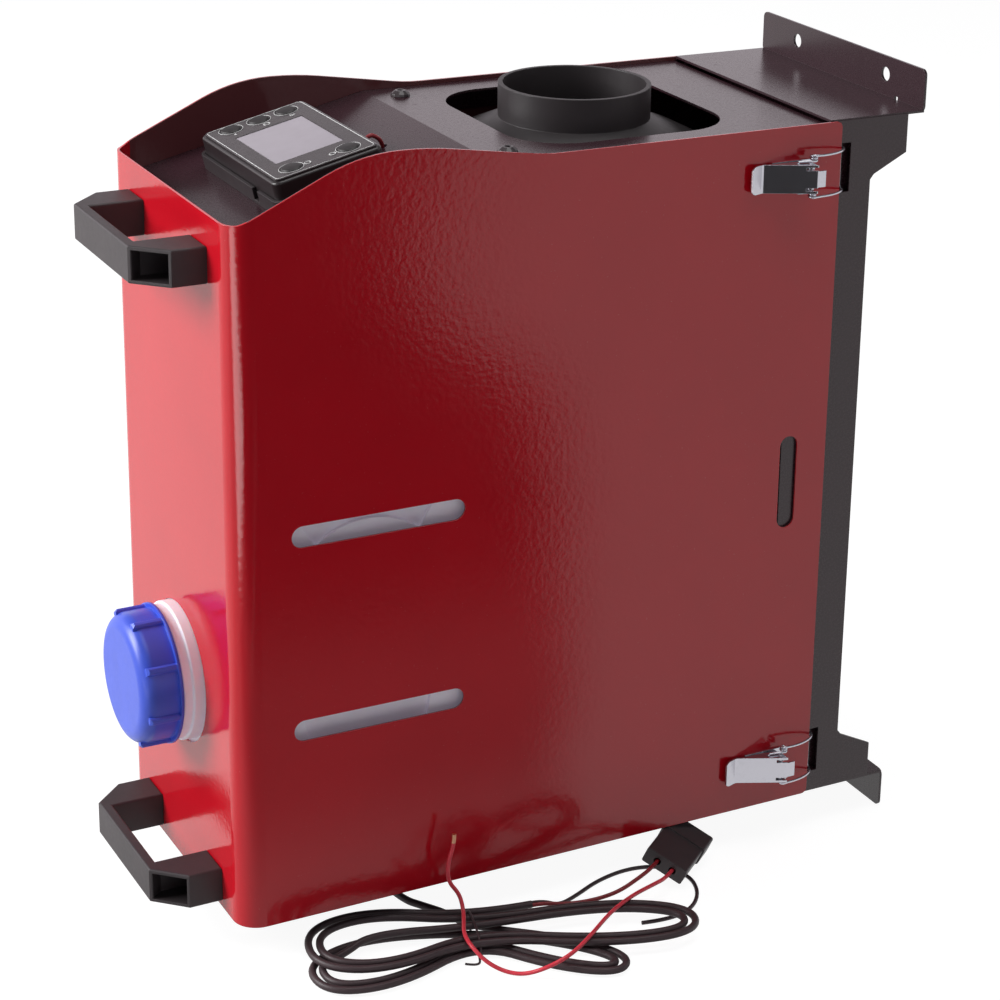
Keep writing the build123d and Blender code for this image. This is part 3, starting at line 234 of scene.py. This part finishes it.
def black_steel():
    """Satin black powder coat on folded sheet."""
    coat = Finish("black_powder_coat", (0.030, 0.012, 0.017), 0.34)
    coat.set("Base Color", coat.blend(coat.noise(35, 4), (0.025, 0.009, 0.013),
                                      (0.037, 0.015, 0.021)))
    scuff = coat.band(coat.noise(7, 6, 0.7), 0.60, 0.75)
    coat.set("Roughness", 0.22 + 0.10 * coat.noise(0.9, 1) + 0.10 * scuff)
    coat.relief((coat.noise(0.8, 2), 0.014), edge=0.3)
    return coat.material


def moulded_black(name, level, roughness, pebble):
    """Black plastic with a fine moulded grain."""
    shell = Finish(name, grey(level), roughness)
    dark, light = ([level * share for share in shares]
                   for shares in ((0.8, 0.62, 0.68), (1.3, 1.0, 1.1)))
    shell.set("Base Color", shell.blend(shell.noise(14, 3), dark, light))
    shell.set("Roughness", roughness - 0.05 + 0.12 * shell.noise(3, 4))
    shell.relief((shell.noise(0.55, 2), pebble), edge=0.5)
    return shell.material


def plated_steel(name, colour, roughness):
    """Bright plating with faint rolling marks and small stains."""
    plate = Finish(name, colour, roughness, Metallic=0.88)
    stain = plate.band(plate.noise(2.2, 4, 0.6), 0.55, 0.75)
    plate.set("Base Color", plate.blend(stain * 0.3, colour, [c * 0.8 for c in colour]))
    plate.set("Roughness", roughness + 0.06 * stain + 0.05 * plate.noise(0.6, 1))
    plate.relief((plate.noise(0.4, 1, stretch=(1, 0.15, 1)), 0.004), edge=0.25)
    return plate.material


def tank_plastic():
    """Natural polyethylene: milky, with a faint painted glow (emission) in place of light shining
    through its wall.
    """
    # painted glow: a fixed emission that brightens the wall, standing in for light through it
    painted_glow = rgba((0.070, 0.062, 0.082))
    wall = Finish("natural_polyethylene", (0.80, 0.79, 0.84), 0.36, Subsurface_Weight=0.15,
                  Subsurface_Scale=0.003, Emission_Color=painted_glow, Emission_Strength=1.0)
    wall.set("Base Color", wall.blend(wall.noise(18, 3), (0.80, 0.78, 0.84), (0.90, 0.88, 0.93)))
    wall.relief((wall.noise(2.5, 3), 0.03), edge=0.8)
    return wall.material


def cap_plastic():
    """Blue moulded cap with a soft sheen and a slight grain."""
    cap = Finish("blue_cap_plastic", (0.05, 0.10, 0.66), 0.30)
    cap.set("Base Color", cap.blend(cap.noise(12, 3), (0.04, 0.085, 0.60), (0.06, 0.12, 0.74)))
    cap.set("Roughness", 0.28 + 0.12 * cap.noise(2.0, 3))
    cap.relief((cap.noise(0.9, 2), 0.02), edge=0.6)
    return cap.material


def rubber(name, colour, roughness=0.6):
    """Soft black rubber with a dusty bloom."""
    soft = Finish(name, colour, roughness)
    bloom = soft.band(soft.noise(5, 4), 0.5, 0.8)
    soft.set("Base Color", soft.blend(bloom * 0.4, colour, [c * 1.6 + 0.01 for c in colour]))
    soft.relief((soft.noise(0.6, 2), 0.02))
    return soft.material


def sheath(name, colour, roughness=0.38):
    """Extruded cable sheath: smooth, with slight waves along it."""
    skin = Finish(name, colour, roughness)
    skin.set("Base Color", skin.blend(skin.noise(6, 3), [c * 0.8 for c in colour],
                                      [c * 1.25 for c in colour]))
    skin.set("Roughness", roughness - 0.04 + 0.1 * skin.noise(2.0, 3))
    skin.relief((skin.noise(1.4, 1), 0.05))
    return skin.material


def cast_metal(name, colour, roughness, metallic=1.0):
    """Cast or turned metal with a slightly mottled surface."""
    metal = Finish(name, colour, roughness, Metallic=metallic)
    metal.set("Base Color", metal.blend(metal.noise(4, 4), [c * 0.8 for c in colour], colour))
    metal.set("Roughness", roughness + 0.12 * metal.noise(1.5, 3))
    metal.relief((metal.noise(0.8, 3), 0.03), edge=0.3)
    return metal.material


def display_glass():
    """Grey display behind a clear window: it mirrors the pale studio a little."""
    glass = Finish("display_window", (0.29, 0.26, 0.30), 0.18, Coat_Weight=0.6,
                   Coat_Roughness=0.05)
    glass.set("Base Color", glass.blend(glass.noise(9, 2), (0.25, 0.22, 0.255),
                                        (0.30, 0.27, 0.31)))
    glass.set("Roughness", 0.16 + 0.1 * glass.noise(0.6, 1))
    return glass.material


def lead_insulation():
    """Red insulation with the last few millimetres stripped to bare copper."""
    skin = Finish("red_lead_insulation", (0.84, 0.05, 0.08), 0.36)
    bare = skin.part(skin.place, 2) > at(0, 0, TIP_Z).z
    body = skin.blend(skin.noise(6, 3), (0.76, 0.040, 0.066), (0.92, 0.060, 0.095))
    skin.set("Base Color", skin.blend(bare, body, (0.78, 0.42, 0.26)))
    skin.set("Metallic", bare * 1.0)
    skin.relief((skin.noise(1.4, 1), 0.05))
    return skin.material


def print_white():
    """Slightly uneven white printing."""
    ink = Finish("white_print", (0.62, 0.62, 0.64), 0.5)
    ink.set("Base Color", ink.blend(ink.noise(0.5, 2), grey(0.55), grey(0.75)))
    return ink.material


FINISHES = {
    "red": red_paint(), "black_steel": black_steel(),
    "grip": moulded_black("handle_plastic", 0.034, 0.50, 0.03),
    "cradle": moulded_black("cradle_plastic", 0.024, 0.46, 0.02),
    "case": moulded_black("controller_plastic", 0.020, 0.34, 0.012),
    "face": moulded_black("controller_face_film", 0.030, 0.26, 0.004),
    "key": moulded_black("key_plastic", 0.012, 0.48, 0.004),
    "chrome": plated_steel("nickel_plating", (0.53, 0.52, 0.57), 0.13),
    "zinc": plated_steel("zinc_plating", (0.52, 0.52, 0.54), 0.22),
    "black_screw": moulded_black("blackened_screws", 0.035, 0.30, 0.01),
    "tank": tank_plastic(), "cap": cap_plastic(),
    "rubber": rubber("black_rubber", (0.022, 0.020, 0.022)),
    "duct": moulded_black("duct_plastic", 0.018, 0.48, 0.02),
    "aluminium": cast_metal("cast_aluminium", (0.66, 0.65, 0.63), 0.38),
    "steel": cast_metal("plain_steel", (0.52, 0.51, 0.50), 0.30),
    "board": cast_metal("circuit_board_green", (0.02, 0.16, 0.06), 0.45, 0.0),
    "clear_nylon": cast_metal("clear_nylon", (0.66, 0.62, 0.52), 0.25, 0.0),
    "cable": sheath("cable_sheath", (0.042, 0.024, 0.028), 0.5),
    "red_wire": sheath("red_insulation", (0.30, 0.012, 0.020)), "lead": lead_insulation(),
    "screen": display_glass(), "print": print_white(),
}

NODE_FINISH = {
    "red": ["red_cover"], "black_steel": ["top_panel", "base_pan", "chassis"],
    "grip": ["handle_upper", "handle_lower", "fuse_holder"],
    "cradle": ["controller_cradle"], "case": ["controller_case", "control_unit"],
    "face": ["controller_face"], "screen": ["lcd_screen"], "board": ["controller_board"],
    "key": ["button_up", "button_ok", "button_down", "button_power", "button_settings"],
    "black_screw": ["button_screws"], "zinc": ["latch_rivets"],
    "tank": ["fuel_tank"], "cap": ["filler_cap"],
    "rubber": ["cap_liner", "base_gasket", "cable_grommet", "pump_clamp", "fuel_hoses"],
    "duct": ["duct_outlet", "casing_front", "casing_rear", "heating_fan"],
    "aluminium": ["heat_exchanger", "combustion_fan"],
    "steel": ["burner", "glow_plug", "rotor_shaft", "pump_body", "pump_plunger",
              "pickup_pipe", "drive_motor"],
    "clear_nylon": ["fuel_filter", "delivery_line"],
    "cable": ["harness_cable", "cable_hank", "cable_tie"],
    "red_wire": ["feed_wires", "controller_lead"], "lead": ["lead_red"],
}
LATCHES = [(row, side) for row in ("upper", "lower") for side in ("right", "left")]
NODE_FINISH["chrome"] = ["latch_%s_%s_%s" % (part, row, side)
                         for part in ("base", "lever", "bail") for row, side in LATCHES]


def dress_nodes():
    """Gives each CAD node its finish all over."""
    for finish, names in NODE_FINISH.items():
        for name in names:
            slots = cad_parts[name].data.materials
            slots.clear()
            slots.append(FINISHES[finish])


# ---- round wires and hoses -------------------------------------------------------------------
SMOOTH_SIDES, SMOOTH_STEPS = 5, 10      # roundness of a cord, and its steps between two points


def new_curve(name, r, sides, caps=True):
    """A curve with no points yet, as thick as a wire of this radius in millimetres."""
    curve = bpy.data.curves.new(name, "CURVE")
    curve.dimensions = "3D"
    curve.bevel_depth = r * MM
    curve.bevel_resolution = sides
    curve.use_fill_caps = caps
    return curve


def add_run(curve, kind, places):
    """One run of points in the frame."""
    spline = curve.splines.new(kind)
    spline.points.add(len(places) - 1)
    for point, place in zip(spline.points, places):
        point.co = (*place, 1.0)
    return spline


def put_in(name, curve, finish, body):
    piece = bpy.data.objects.new(name, curve)
    bpy.context.scene.collection.objects.link(piece)
    curve.materials.append(FINISHES[finish])
    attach(piece, body)
    return piece


def smooth_piece(name, places, r, finish):
    """A round cord along a smooth spline whose control points these are."""
    curve = new_curve(name, r, SMOOTH_SIDES)
    spline = add_run(curve, "NURBS", places)
    spline.order_u = 3
    spline.use_endpoint_u = True
    spline.resolution_u = SMOOTH_STEPS
    return put_in(name, curve, finish, BODY)


def poly_piece(name, runs, r, finish, body, closed=False, sides=3):
    """A round wire along one or more runs of points."""
    curve = new_curve(name, r, sides, caps=not closed)
    for run in runs:
        add_run(curve, "POLY", run).use_cyclic_u = closed
    return put_in(name, curve, finish, body)


def arc(centre, r, start, end, steps):
    """Points of an arc in a plane, from one angle in degrees to another."""
    angles = [math.radians(start + (end - start) * i / steps) for i in range(steps + 1)]
    return [(centre[0] + r * math.cos(a), centre[1] + r * math.sin(a)) for a in angles]


# ---- free cords ------------------------------------------------------------------------------
HANK_X, HANK_Y, HANK_ANGLE = 98.5, 106.0, math.radians(75.5)
HANK_PITCH, HANK_TURNS = 5.2, 2
HANK_Z, TOP_Z = -17.0, -12.5
HANK_START, HANK_LEAD = Vector((64.0, 96.0, HANK_Z)), Vector((0.845, 0.535, 0.0))
HANK_LOBES = (((272.0, 76.0, 17.0), (43.4, 70.0, 8.0)), ((258.3, 73.0, 22.0), (67.2, 100.0, 14.0)))
HANK_ALONG = Vector((math.cos(HANK_ANGLE), math.sin(HANK_ANGLE), 0))
HANK_LEFT = Vector((-math.sin(HANK_ANGLE), math.cos(HANK_ANGLE), 0))
WIRE_Z = -18.9


def lobe(angle, reach, width):
    """Corner points of one end of a loop, seen from the waist, on the left first."""
    a = math.radians(angle)
    along, across = Vector((math.cos(a), math.sin(a), 0)), Vector((-math.sin(a), math.cos(a), 0))
    near, far = along * (reach * 0.6), along * reach
    return [near + across * width, far + across * (width * 0.6),
            far - across * (width * 0.6), near - across * width]


def hank_route():
    """Two layers of loops drawn in at the waist: inward on the floor, outward on top."""
    pts = [HANK_START + HANK_LEAD * 13]
    for layer, z in enumerate((HANK_Z, TOP_Z)):
        waist = Vector((HANK_X, HANK_Y, z))
        low, high = HANK_LOBES[layer]
        for turn in range(HANK_TURNS):
            step = (HANK_TURNS - 1 - turn if layer == 0 else turn) * HANK_PITCH
            off = HANK_PITCH / 2 if layer == 0 else 0
            rear = lobe(high[0], high[1] + step, high[2] + step)
            front = lobe(low[0], low[1] + step, low[2] + step)
            if layer == 0 and turn == HANK_TURNS - 1:
                front.insert(3, front[2] * 0.5 + front[3] * 0.5)
                front[4] += Vector((0, 0, TOP_Z - HANK_Z))
            loop = [HANK_LEFT * (off + step)] + rear
            loop += [HANK_LEFT * (off - HANK_PITCH - step)] + front
            pts += [waist + p for p in loop]
    last = Vector((HANK_X, HANK_Y, TOP_Z)) + HANK_LEFT * (HANK_TURNS * HANK_PITCH)
    return pts + [last, last + HANK_ALONG * 31 + HANK_LEFT * 4]


def spline_length(piece):
    """The length of a cord's own line, in metres."""
    line = piece.copy()
    line.data = piece.data.copy()
    line.data.bevel_depth = 0
    mesh = bpy.data.meshes.new_from_object(line)
    spots = [vertex.co for vertex in mesh.vertices]
    total = sum((spots[a] - spots[b]).length for a, b in (e.vertices for e in mesh.edges))
    bpy.data.meshes.remove(mesh)
    bpy.data.objects.remove(line)
    return total


def cord(name, points, r, finish, nodes):
    """A free cord that stands for its CAD nodes; its points are millimetres of the case."""
    places = [at(*point) for point in points]
    piece = smooth_piece(name, places, r, finish)
    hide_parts(*nodes)
    spline_length(piece)


FUSE_W, FUSE_T = 22.5, 8.6
FUSE_AT = Vector((101.0, 216.8, -17.3))         # lowest corner of the fuse holder
FUSE_ROLL, FUSE_TURN = math.radians(24.0), math.radians(129.9)
FUSE_ALONG = Vector((math.cos(FUSE_TURN), math.sin(FUSE_TURN), 0))
FUSE_LEVEL = Vector((math.sin(FUSE_TURN), -math.cos(FUSE_TURN), 0))
FUSE_ACROSS = FUSE_LEVEL * -math.cos(FUSE_ROLL) + Vector((0, 0, math.sin(FUSE_ROLL)))
FUSE_UP = FUSE_ALONG.cross(FUSE_ACROSS)
ENTRIES = 0.3, 0.68         # the two wire entries, as shares of the holder's width
IN_HOLDER = -4.9            # how far a wire ends inside its entry


def at_entry(index, out):
    """A point this far out of one of the fuse holder's two wire entries."""
    x = FUSE_W * ENTRIES[index]
    return FUSE_AT + FUSE_ACROSS * x + FUSE_UP * (FUSE_T / 2) - FUSE_ALONG * out


HARNESS_AT = Vector((-12.0, 152.0, 0))          # below the grommet in the base pan
CABLE_Z = FLOOR_Z + CABLE_R
HARNESS = [(0, 0, 6), (0, 0, -5.5), (1, -7, -14.5), (3, -19, CABLE_Z), (6, -33, CABLE_Z),
           (17, -51, CABLE_Z), (35, -64, CABLE_Z)]
RED_LEAD = [at_entry(0, IN_HOLDER), at_entry(0, 7), (106.5, 198.5, -9.6), (111.5, 184.0, -9.2),
            (120.0, 167.5, -9.4), (133.5, 150.5, -9.2), (144.0, 135.5, -9.4),
            (145.5, 122.5, -12.5), (138.5, 113.5, -18.2), (131.5, 106.5, WIRE_Z),
            (126.0, 99.0, -14.5), (118.0, 94.8, -8.9), (106.5, 96.8, -9.0), (96.5, 101.8, -9.0),
            (89.6, 104.6, -6.5), (86.6, 104.0, -0.5), (85.8, 98.5, 7.0), (86.0, 98.2, 16.5),
            (86.0, 101.4, 26.5), (86.0, 101.4, 31.5)]
RED_FEED = [(98.4, 155.0, -13.4), (101.0, 169.0, -13.4), (101.5, 182.0, -12.0),
            (99.0, 194.0, -9.2), at_entry(1, 6), at_entry(1, IN_HOLDER)]
BLACK_FEED = [(93.0, 154.0, -16.5), (85.5, 167.0, WIRE_Z), (77.0, 184.0, WIRE_Z),
              (73.5, 203.0, WIRE_Z), (78.5, 219.0, WIRE_Z), (93.0, 227.0, WIRE_Z),
              (109.0, 223.0, WIRE_Z), (121.0, 212.0, WIRE_Z), (124.5, 197.0, WIRE_Z),
              (121.5, 184.0, WIRE_Z)]


def make_cords():
    """The power cable in its tied hank, the red lead, and the two wires out of the cable's end."""
    tie = make_tie()
    hank = hank_route()
    cable = [HARNESS_AT + Vector(step) for step in HARNESS]
    cable += [HANK_START - HANK_LEAD * 12, HANK_START] + hank
    cord("power_cable", cable, CABLE_R, "cable", ["harness_cable", "cable_hank"])
    cord("red_lead", RED_LEAD, WIRE_R, "lead", ["lead_red"])
    end = hank[-1]
    along = (end - hank[-2]).normalized()
    side = along.cross(Vector((0, 0, 1))).normalized() * (WIRE_R + 0.05)
    red = [end + side, end + side + along * 6] + RED_FEED
    black = [end - side, end - side + along * 6] + BLACK_FEED
    cord("red_feed_wire", red, WIRE_R, "red_wire", ["feed_wires"])
    cord("black_feed_wire", black, WIRE_R, "cable", ["feed_wires"])


def make_tie():
    """The twist of wire round the hank's waist, its points across, along and up."""
    right, left, low = 17.6, 15.6, FLOOR_Z + TIE_R
    high = TOP_Z + CABLE_R + 0.3 + TIE_R
    ring = [(right + 2.5, -8, low), (right + 5, -3, low), (right + 1.5, 0, low), (-left, 0, low),
            (-left, 0, high), (right, 0, high), (right, 0, low + 2 * TIE_R + 0.8)]
    places = [at(*Vector((HANK_X, HANK_Y, z)) - HANK_LEFT * across + HANK_ALONG * along)
              for across, along, z in ring]
    tie = smooth_piece("cable_tie_wire", places, TIE_R, "cable")
    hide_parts("cable_tie")
    return tie


# ---- latches' wire loops ---------------------------------------------------------------------
LOOP_R, LOOP_EYE = 0.62, (5.6, 278.2, 5.9)      # wire, and its eye in the lever
COIL_AT, COIL_R, COIL_TURNS, COIL_PITCH = (5.7, 286.6), 1.5, 2, 1.3
COIL_STEPS, BOW_STEPS = 28, 10
ARM_Z, HOOK_Y, HOOK_IN, BOW = 7.5, 307.3, 3.4, (9.6, 17.0)
BOW_END = 84                # degrees of the arm's bow before the straight end at the hook
LATCH_Z = {"upper": 329.0, "lower": 23.0}


def bail_arm():
    """Half of the loop, from its eye in the lever through the spring turns to the hook's bar."""
    x, y, z = LOOP_EYE
    pts = [(x, y, z), (x, y, ARM_Z - 0.5), (x + 0.1, y + 0.5, ARM_Z)]
    top = ARM_Z + COIL_PITCH * COIL_TURNS
    for i, (cx, cy) in enumerate(arc(COIL_AT, COIL_R, 0, 360 * COIL_TURNS, COIL_STEPS)):
        pts.append((cx, cy, ARM_Z + (top - ARM_Z) * i / COIL_STEPS))
    out = COIL_AT[0] + COIL_R
    for c, s in arc((0, 0), 1.0, 0, BOW_END, BOW_STEPS):
        pts.append((out - BOW[0] * (1 - c), HOOK_Y - BOW[1] * (1 - s), top - 0.2))
    return pts + [(0.4 - HOOK_IN, HOOK_Y, top - 0.8), (-HOOK_IN, HOOK_Y, top - 1.8)]


def make_bails():
    """A sprung wire loop on each latch."""
    arm = bail_arm()
    loop = arm + [(x, y, -z) for x, y, z in reversed(arm)]
    for row, side in LATCHES:
        sign = 1 if side == "right" else -1
        run = [at(sign * (SIDE_X + x), y, LATCH_Z[row] + z) for x, y, z in loop]
        place = "%s_%s" % (row, side)
        piece = poly_piece("wire_loop_" + place, [run], LOOP_R, "chrome",
                           "bail_" + place)
        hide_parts("latch_bail_" + place)


# ---- controller: outline, rings and marks ----------------------------------------------------
FACE_W, FACE_L, FACE_R, RING_R = 85.8, 47.5, 2.2, 5.7
OUTLINE_R, PRINT_R, SIGN_R = 0.16, 0.13, 0.22   # half widths of the printed lines
PRINT_LIFT = 0.05
TRIANGLES = ((-28.6, 14.5, 1), (-29.0, -12.6, -1))              # middle of each, and its way up
SIGN_ARCS = (((-28.5, 0.8), -60, 240, 10), ((36, 6), 0, 345, 12), ((36, -6), 120, 420, 10))
SIGN_HALF, SIGN_ARC_R = 1.6, 1.5


def on_face(run):
    return [on_controller(x, y, FACE_Z + PRINT_LIFT) for x, y in run]


def rounded_outline(w, l, r):
    pts = []
    for sx, sy, start in ((1, 1, 0), (-1, 1, 90), (-1, -1, 180), (1, -1, 270)):
        pts += arc((sx * (w / 2 - r), sy * (l / 2 - r)), r, start, start + 90, 5)
    return pts


def triangle(x, y, way):
    """A small triangle whose tip points up or down."""
    w, h = 1.3 * way, SIGN_HALF
    return [(x - w, y - h), (x + w, y - h), (x, y - 0.8 + h * way)]


def make_face_marks():
    """Printed outline, a ring round each key, and plain triangles and rings beside them."""
    outline = rounded_outline(FACE_W, FACE_L, FACE_R)
    rings = [arc(spot, RING_R, 0, 345, 23) for spot in KEY_SPOTS.values()]
    signs = [triangle(*spot) for spot in TRIANGLES]
    signs += [arc(centre, SIGN_ARC_R, *sweep) for centre, *sweep in SIGN_ARCS]
    for name, runs, r in (("face_outline", [outline], OUTLINE_R), ("key_rings", rings, PRINT_R),
                          ("key_signs", signs, SIGN_R)):
        poly_piece(name, [on_face(run) for run in runs], r, "print", BODY,
                   closed=True, sides=1)


# ---- fixed soft pieces -----------------------------------------------------------------------
TANK_HOSE = [(45, 104, 316), (45, 104, 325), (54, 128, 329), (62.5, 162.8, 331),
             (62.5, 217.8, 331), (62.5, 265, 326), (54, 293, 311), (50, 297, 301), (50, 297, 293)]
PUMP_HOSE = [(50, 297, 241), (50, 297, 232), (41, 297, 199), (18, 297, 194), (6, 297, 204),
             (6, 297, 219)]
DELIVERY = [(6, 297, 308.2), (6, 297, 316), (16, 297, 321), (31, 297, 308), (32, 305, 250),
            (28, 311, 205), (16, 312.8, 177), (16, 299, 176)]
CONTROLLER_LEAD = [(9, 25.85, 5.7), (9, 30.85, 5.7), (9, 34.85, 8.7), (8, 39.85, 3.7),
                   (6, 40, -2), (6, 40, -12)]
HOSE_R, LINE_R = 3.5, 2.1
FIXED = (("tank_hose", TANK_HOSE, at, HOSE_R, "rubber", "seal_rubber", "fuel_hoses"),
         ("pump_hose", PUMP_HOSE, at, HOSE_R, "rubber", "seal_rubber", "fuel_hoses"),
         ("pump_delivery_line", DELIVERY, at, LINE_R, "clear_nylon", "line_plastic",
          "delivery_line"),
         ("controller_wires", CONTROLLER_LEAD, on_controller, WIRE_R, "red_wire", "cable_sheath",
          "controller_lead"))


def make_soft_pieces():
    """The fuel hoses, the pump's delivery line and the controller's wires, held at both ends."""
    for name, route, place, r, finish, slot, node in FIXED:
        piece = smooth_piece(name, [place(*point) for point in route], r, finish)
        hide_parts(node)


GRIP_EDGE = 0.7


def soften(name, radius):
    """Rounds a CAD piece's sharp edges a little."""
    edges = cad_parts[name].modifiers.new("soft_edges", "BEVEL")
    edges.width, edges.segments = radius * MM, 2
    edges.limit_method, edges.angle_limit = "ANGLE", math.radians(35)


# ---- studio ----------------------------------------------------------------------------------
def camera():
    """The photograph's view: direction, roll, and a shift for its crop."""
    turn, rise, roll = CAMERA_TURN, CAMERA_RISE, CAMERA_ROLL
    level = math.cos(rise)
    back = Vector((math.sin(turn) * level, -math.cos(turn) * level, math.sin(rise)))
    right = Vector((math.cos(turn), math.sin(turn), 0))
    up = back.cross(right)
    tilted = right * math.cos(roll) + up * math.sin(roll)
    upright = up * math.cos(roll) - right * math.sin(roll)
    data = bpy.data.cameras.new("camera")
    data.sensor_width = 36.0
    data.lens = FOCAL_PX * data.sensor_width / IMAGE_PX
    data.shift_x = (IMAGE_PX / 2 - CENTRE_PX[0]) / IMAGE_PX
    data.shift_y = (CENTRE_PX[1] - IMAGE_PX / 2) / IMAGE_PX
    data.clip_start = 0.05
    seen = bpy.data.objects.new("camera", data)
    bpy.context.scene.collection.objects.link(seen)
    axes = Matrix((tilted, upright, back)).transposed()
    seen.matrix_world = Matrix.Translation(at(*CAMERA_AT)) @ axes.to_4x4()
    bpy.context.scene.camera = seen


def softbox(name, place, aim, size, power):
    data = bpy.data.lights.new(name, "AREA")
    data.shape = "RECTANGLE"
    data.size, data.size_y = size
    data.energy = power
    lamp = bpy.data.objects.new(name, data)
    bpy.context.scene.collection.objects.link(lamp)
    lamp.location = place
    lamp.rotation_mode = "QUATERNION"
    lamp.rotation_quaternion = (Vector(place) - Vector(aim)).to_track_quat("Z", "Y")


def surroundings():
    """White all round for the camera; mirrors see a pale horizon under a darker ceiling."""
    world = bpy.data.worlds.new("studio")
    world.use_nodes = True
    bpy.context.scene.world = world
    tree = world.node_tree
    sky = Shading(tree, tree.nodes["Background"])
    height = sky.part(sky.node("TexCoord", out="Generated"), 2)
    mirrored = sky.blend(sky.band(height, *CEILING_FROM_TO), HORIZON_COLOUR, grey(CEILING_TONE))
    seen = sky.ray("Camera") + sky.ray("Transmission")
    plain = sky.blend(seen, (AMBIENT, AMBIENT, AMBIENT * 1.06), grey(1.0))
    sky.set("Color", sky.blend(sky.ray("Glossy"), plain, mirrored))


def table_paper():
    """White to the camera; for mirrors only it carries painted reflections, dark to the front
    right.
    """
    paper = Finish("white_paper", grey(0.8), 0.9, Specular_IOR_Level=0.0, Emission_Strength=1.0)
    x, y = (paper.part(paper.place, axis) for axis in (0, 1))
    # painted reflection, seen only in mirrors: the bright paper ends along this line; in front of
    # it the tone falls off to the right
    edge = 0.10 + 0.5 * x - 0.12 * paper.band(x, 0.65, 1.0) + 0.05 * paper.noise(160, 2)
    behind = paper.band(y - edge, -0.015, 0.035)
    near = 0.65 - 0.40 * paper.band(x, 0.10, 0.24) - 0.24 * paper.band(x, 0.30, 0.50)
    # painted reflection of a pale stand, seen only in mirrors as a faint upright streak
    painted_streak_line = y - 0.572 * x
    across = paper.band(painted_streak_line, -0.356, -0.336) * (1 - paper.band(painted_streak_line, -0.332, -0.312))
    near = near + 0.38 * across * paper.band(x, 0.28, 0.40) * (1 - paper.band(x, 0.70, 0.95))
    dark = paper.node("CombineXYZ", {}, {0: near, 1: near, 2: near})
    right = paper.blend(behind, dark, grey(1.0))
    # painted reflection of a lamp: a bright floor strip straight below the camera, seen only by
    # the cover's bend
    ahead = paper.band(-0.40 - y, 0.0, 0.05)
    painted_strip = ahead * (1 - paper.band(x, 0.60, 0.72)) * paper.band(x, 0.16, 0.26)
    right = paper.blend(painted_strip, right, grey(PAINTED_STRIP_TONE))
    mirrored = paper.blend(paper.band(x, -0.10, 0.04), grey(LEFT_TONE), right)
    seen = paper.ray("Camera") + paper.ray("Transmission")
    plain = paper.blend(seen, grey(0.0), grey(PAPER_GLOW))
    paper.set("Emission Color", paper.blend(paper.ray("Glossy"), plain, mirrored))
    lit = paper.blend(seen, grey(PAPER_BOUNCE), grey(PAPER_SHADE))
    paper.set("Base Color", paper.blend(paper.ray("Glossy"), lit, grey(0.0)))
    return paper.material


def studio():
    """World, floor and lamps."""
    surroundings()
    table = bpy.data.meshes.new("floor")
    form = bmesh.new()
    bmesh.ops.create_grid(form, x_segments=1, y_segments=1, size=TABLE_HALF)
    form.to_mesh(table)
    form.free()
    floor = bpy.data.objects.new("floor", table)
    floor.location = at(0, 0, FLOOR_Z)
    bpy.context.scene.collection.objects.link(floor)
    table.materials.append(table_paper())
    for name, place, aim, size, power in LAMPS:
        softbox(name, place, at(*aim), size, power)


bpy.context.scene.view_settings.view_transform = "Standard"
dress_nodes()
for grip in ("handle_upper", "handle_lower"):
    soften(grip, GRIP_EDGE)
make_cords()
make_soft_pieces()
make_bails()
make_face_marks()
camera()
studio()
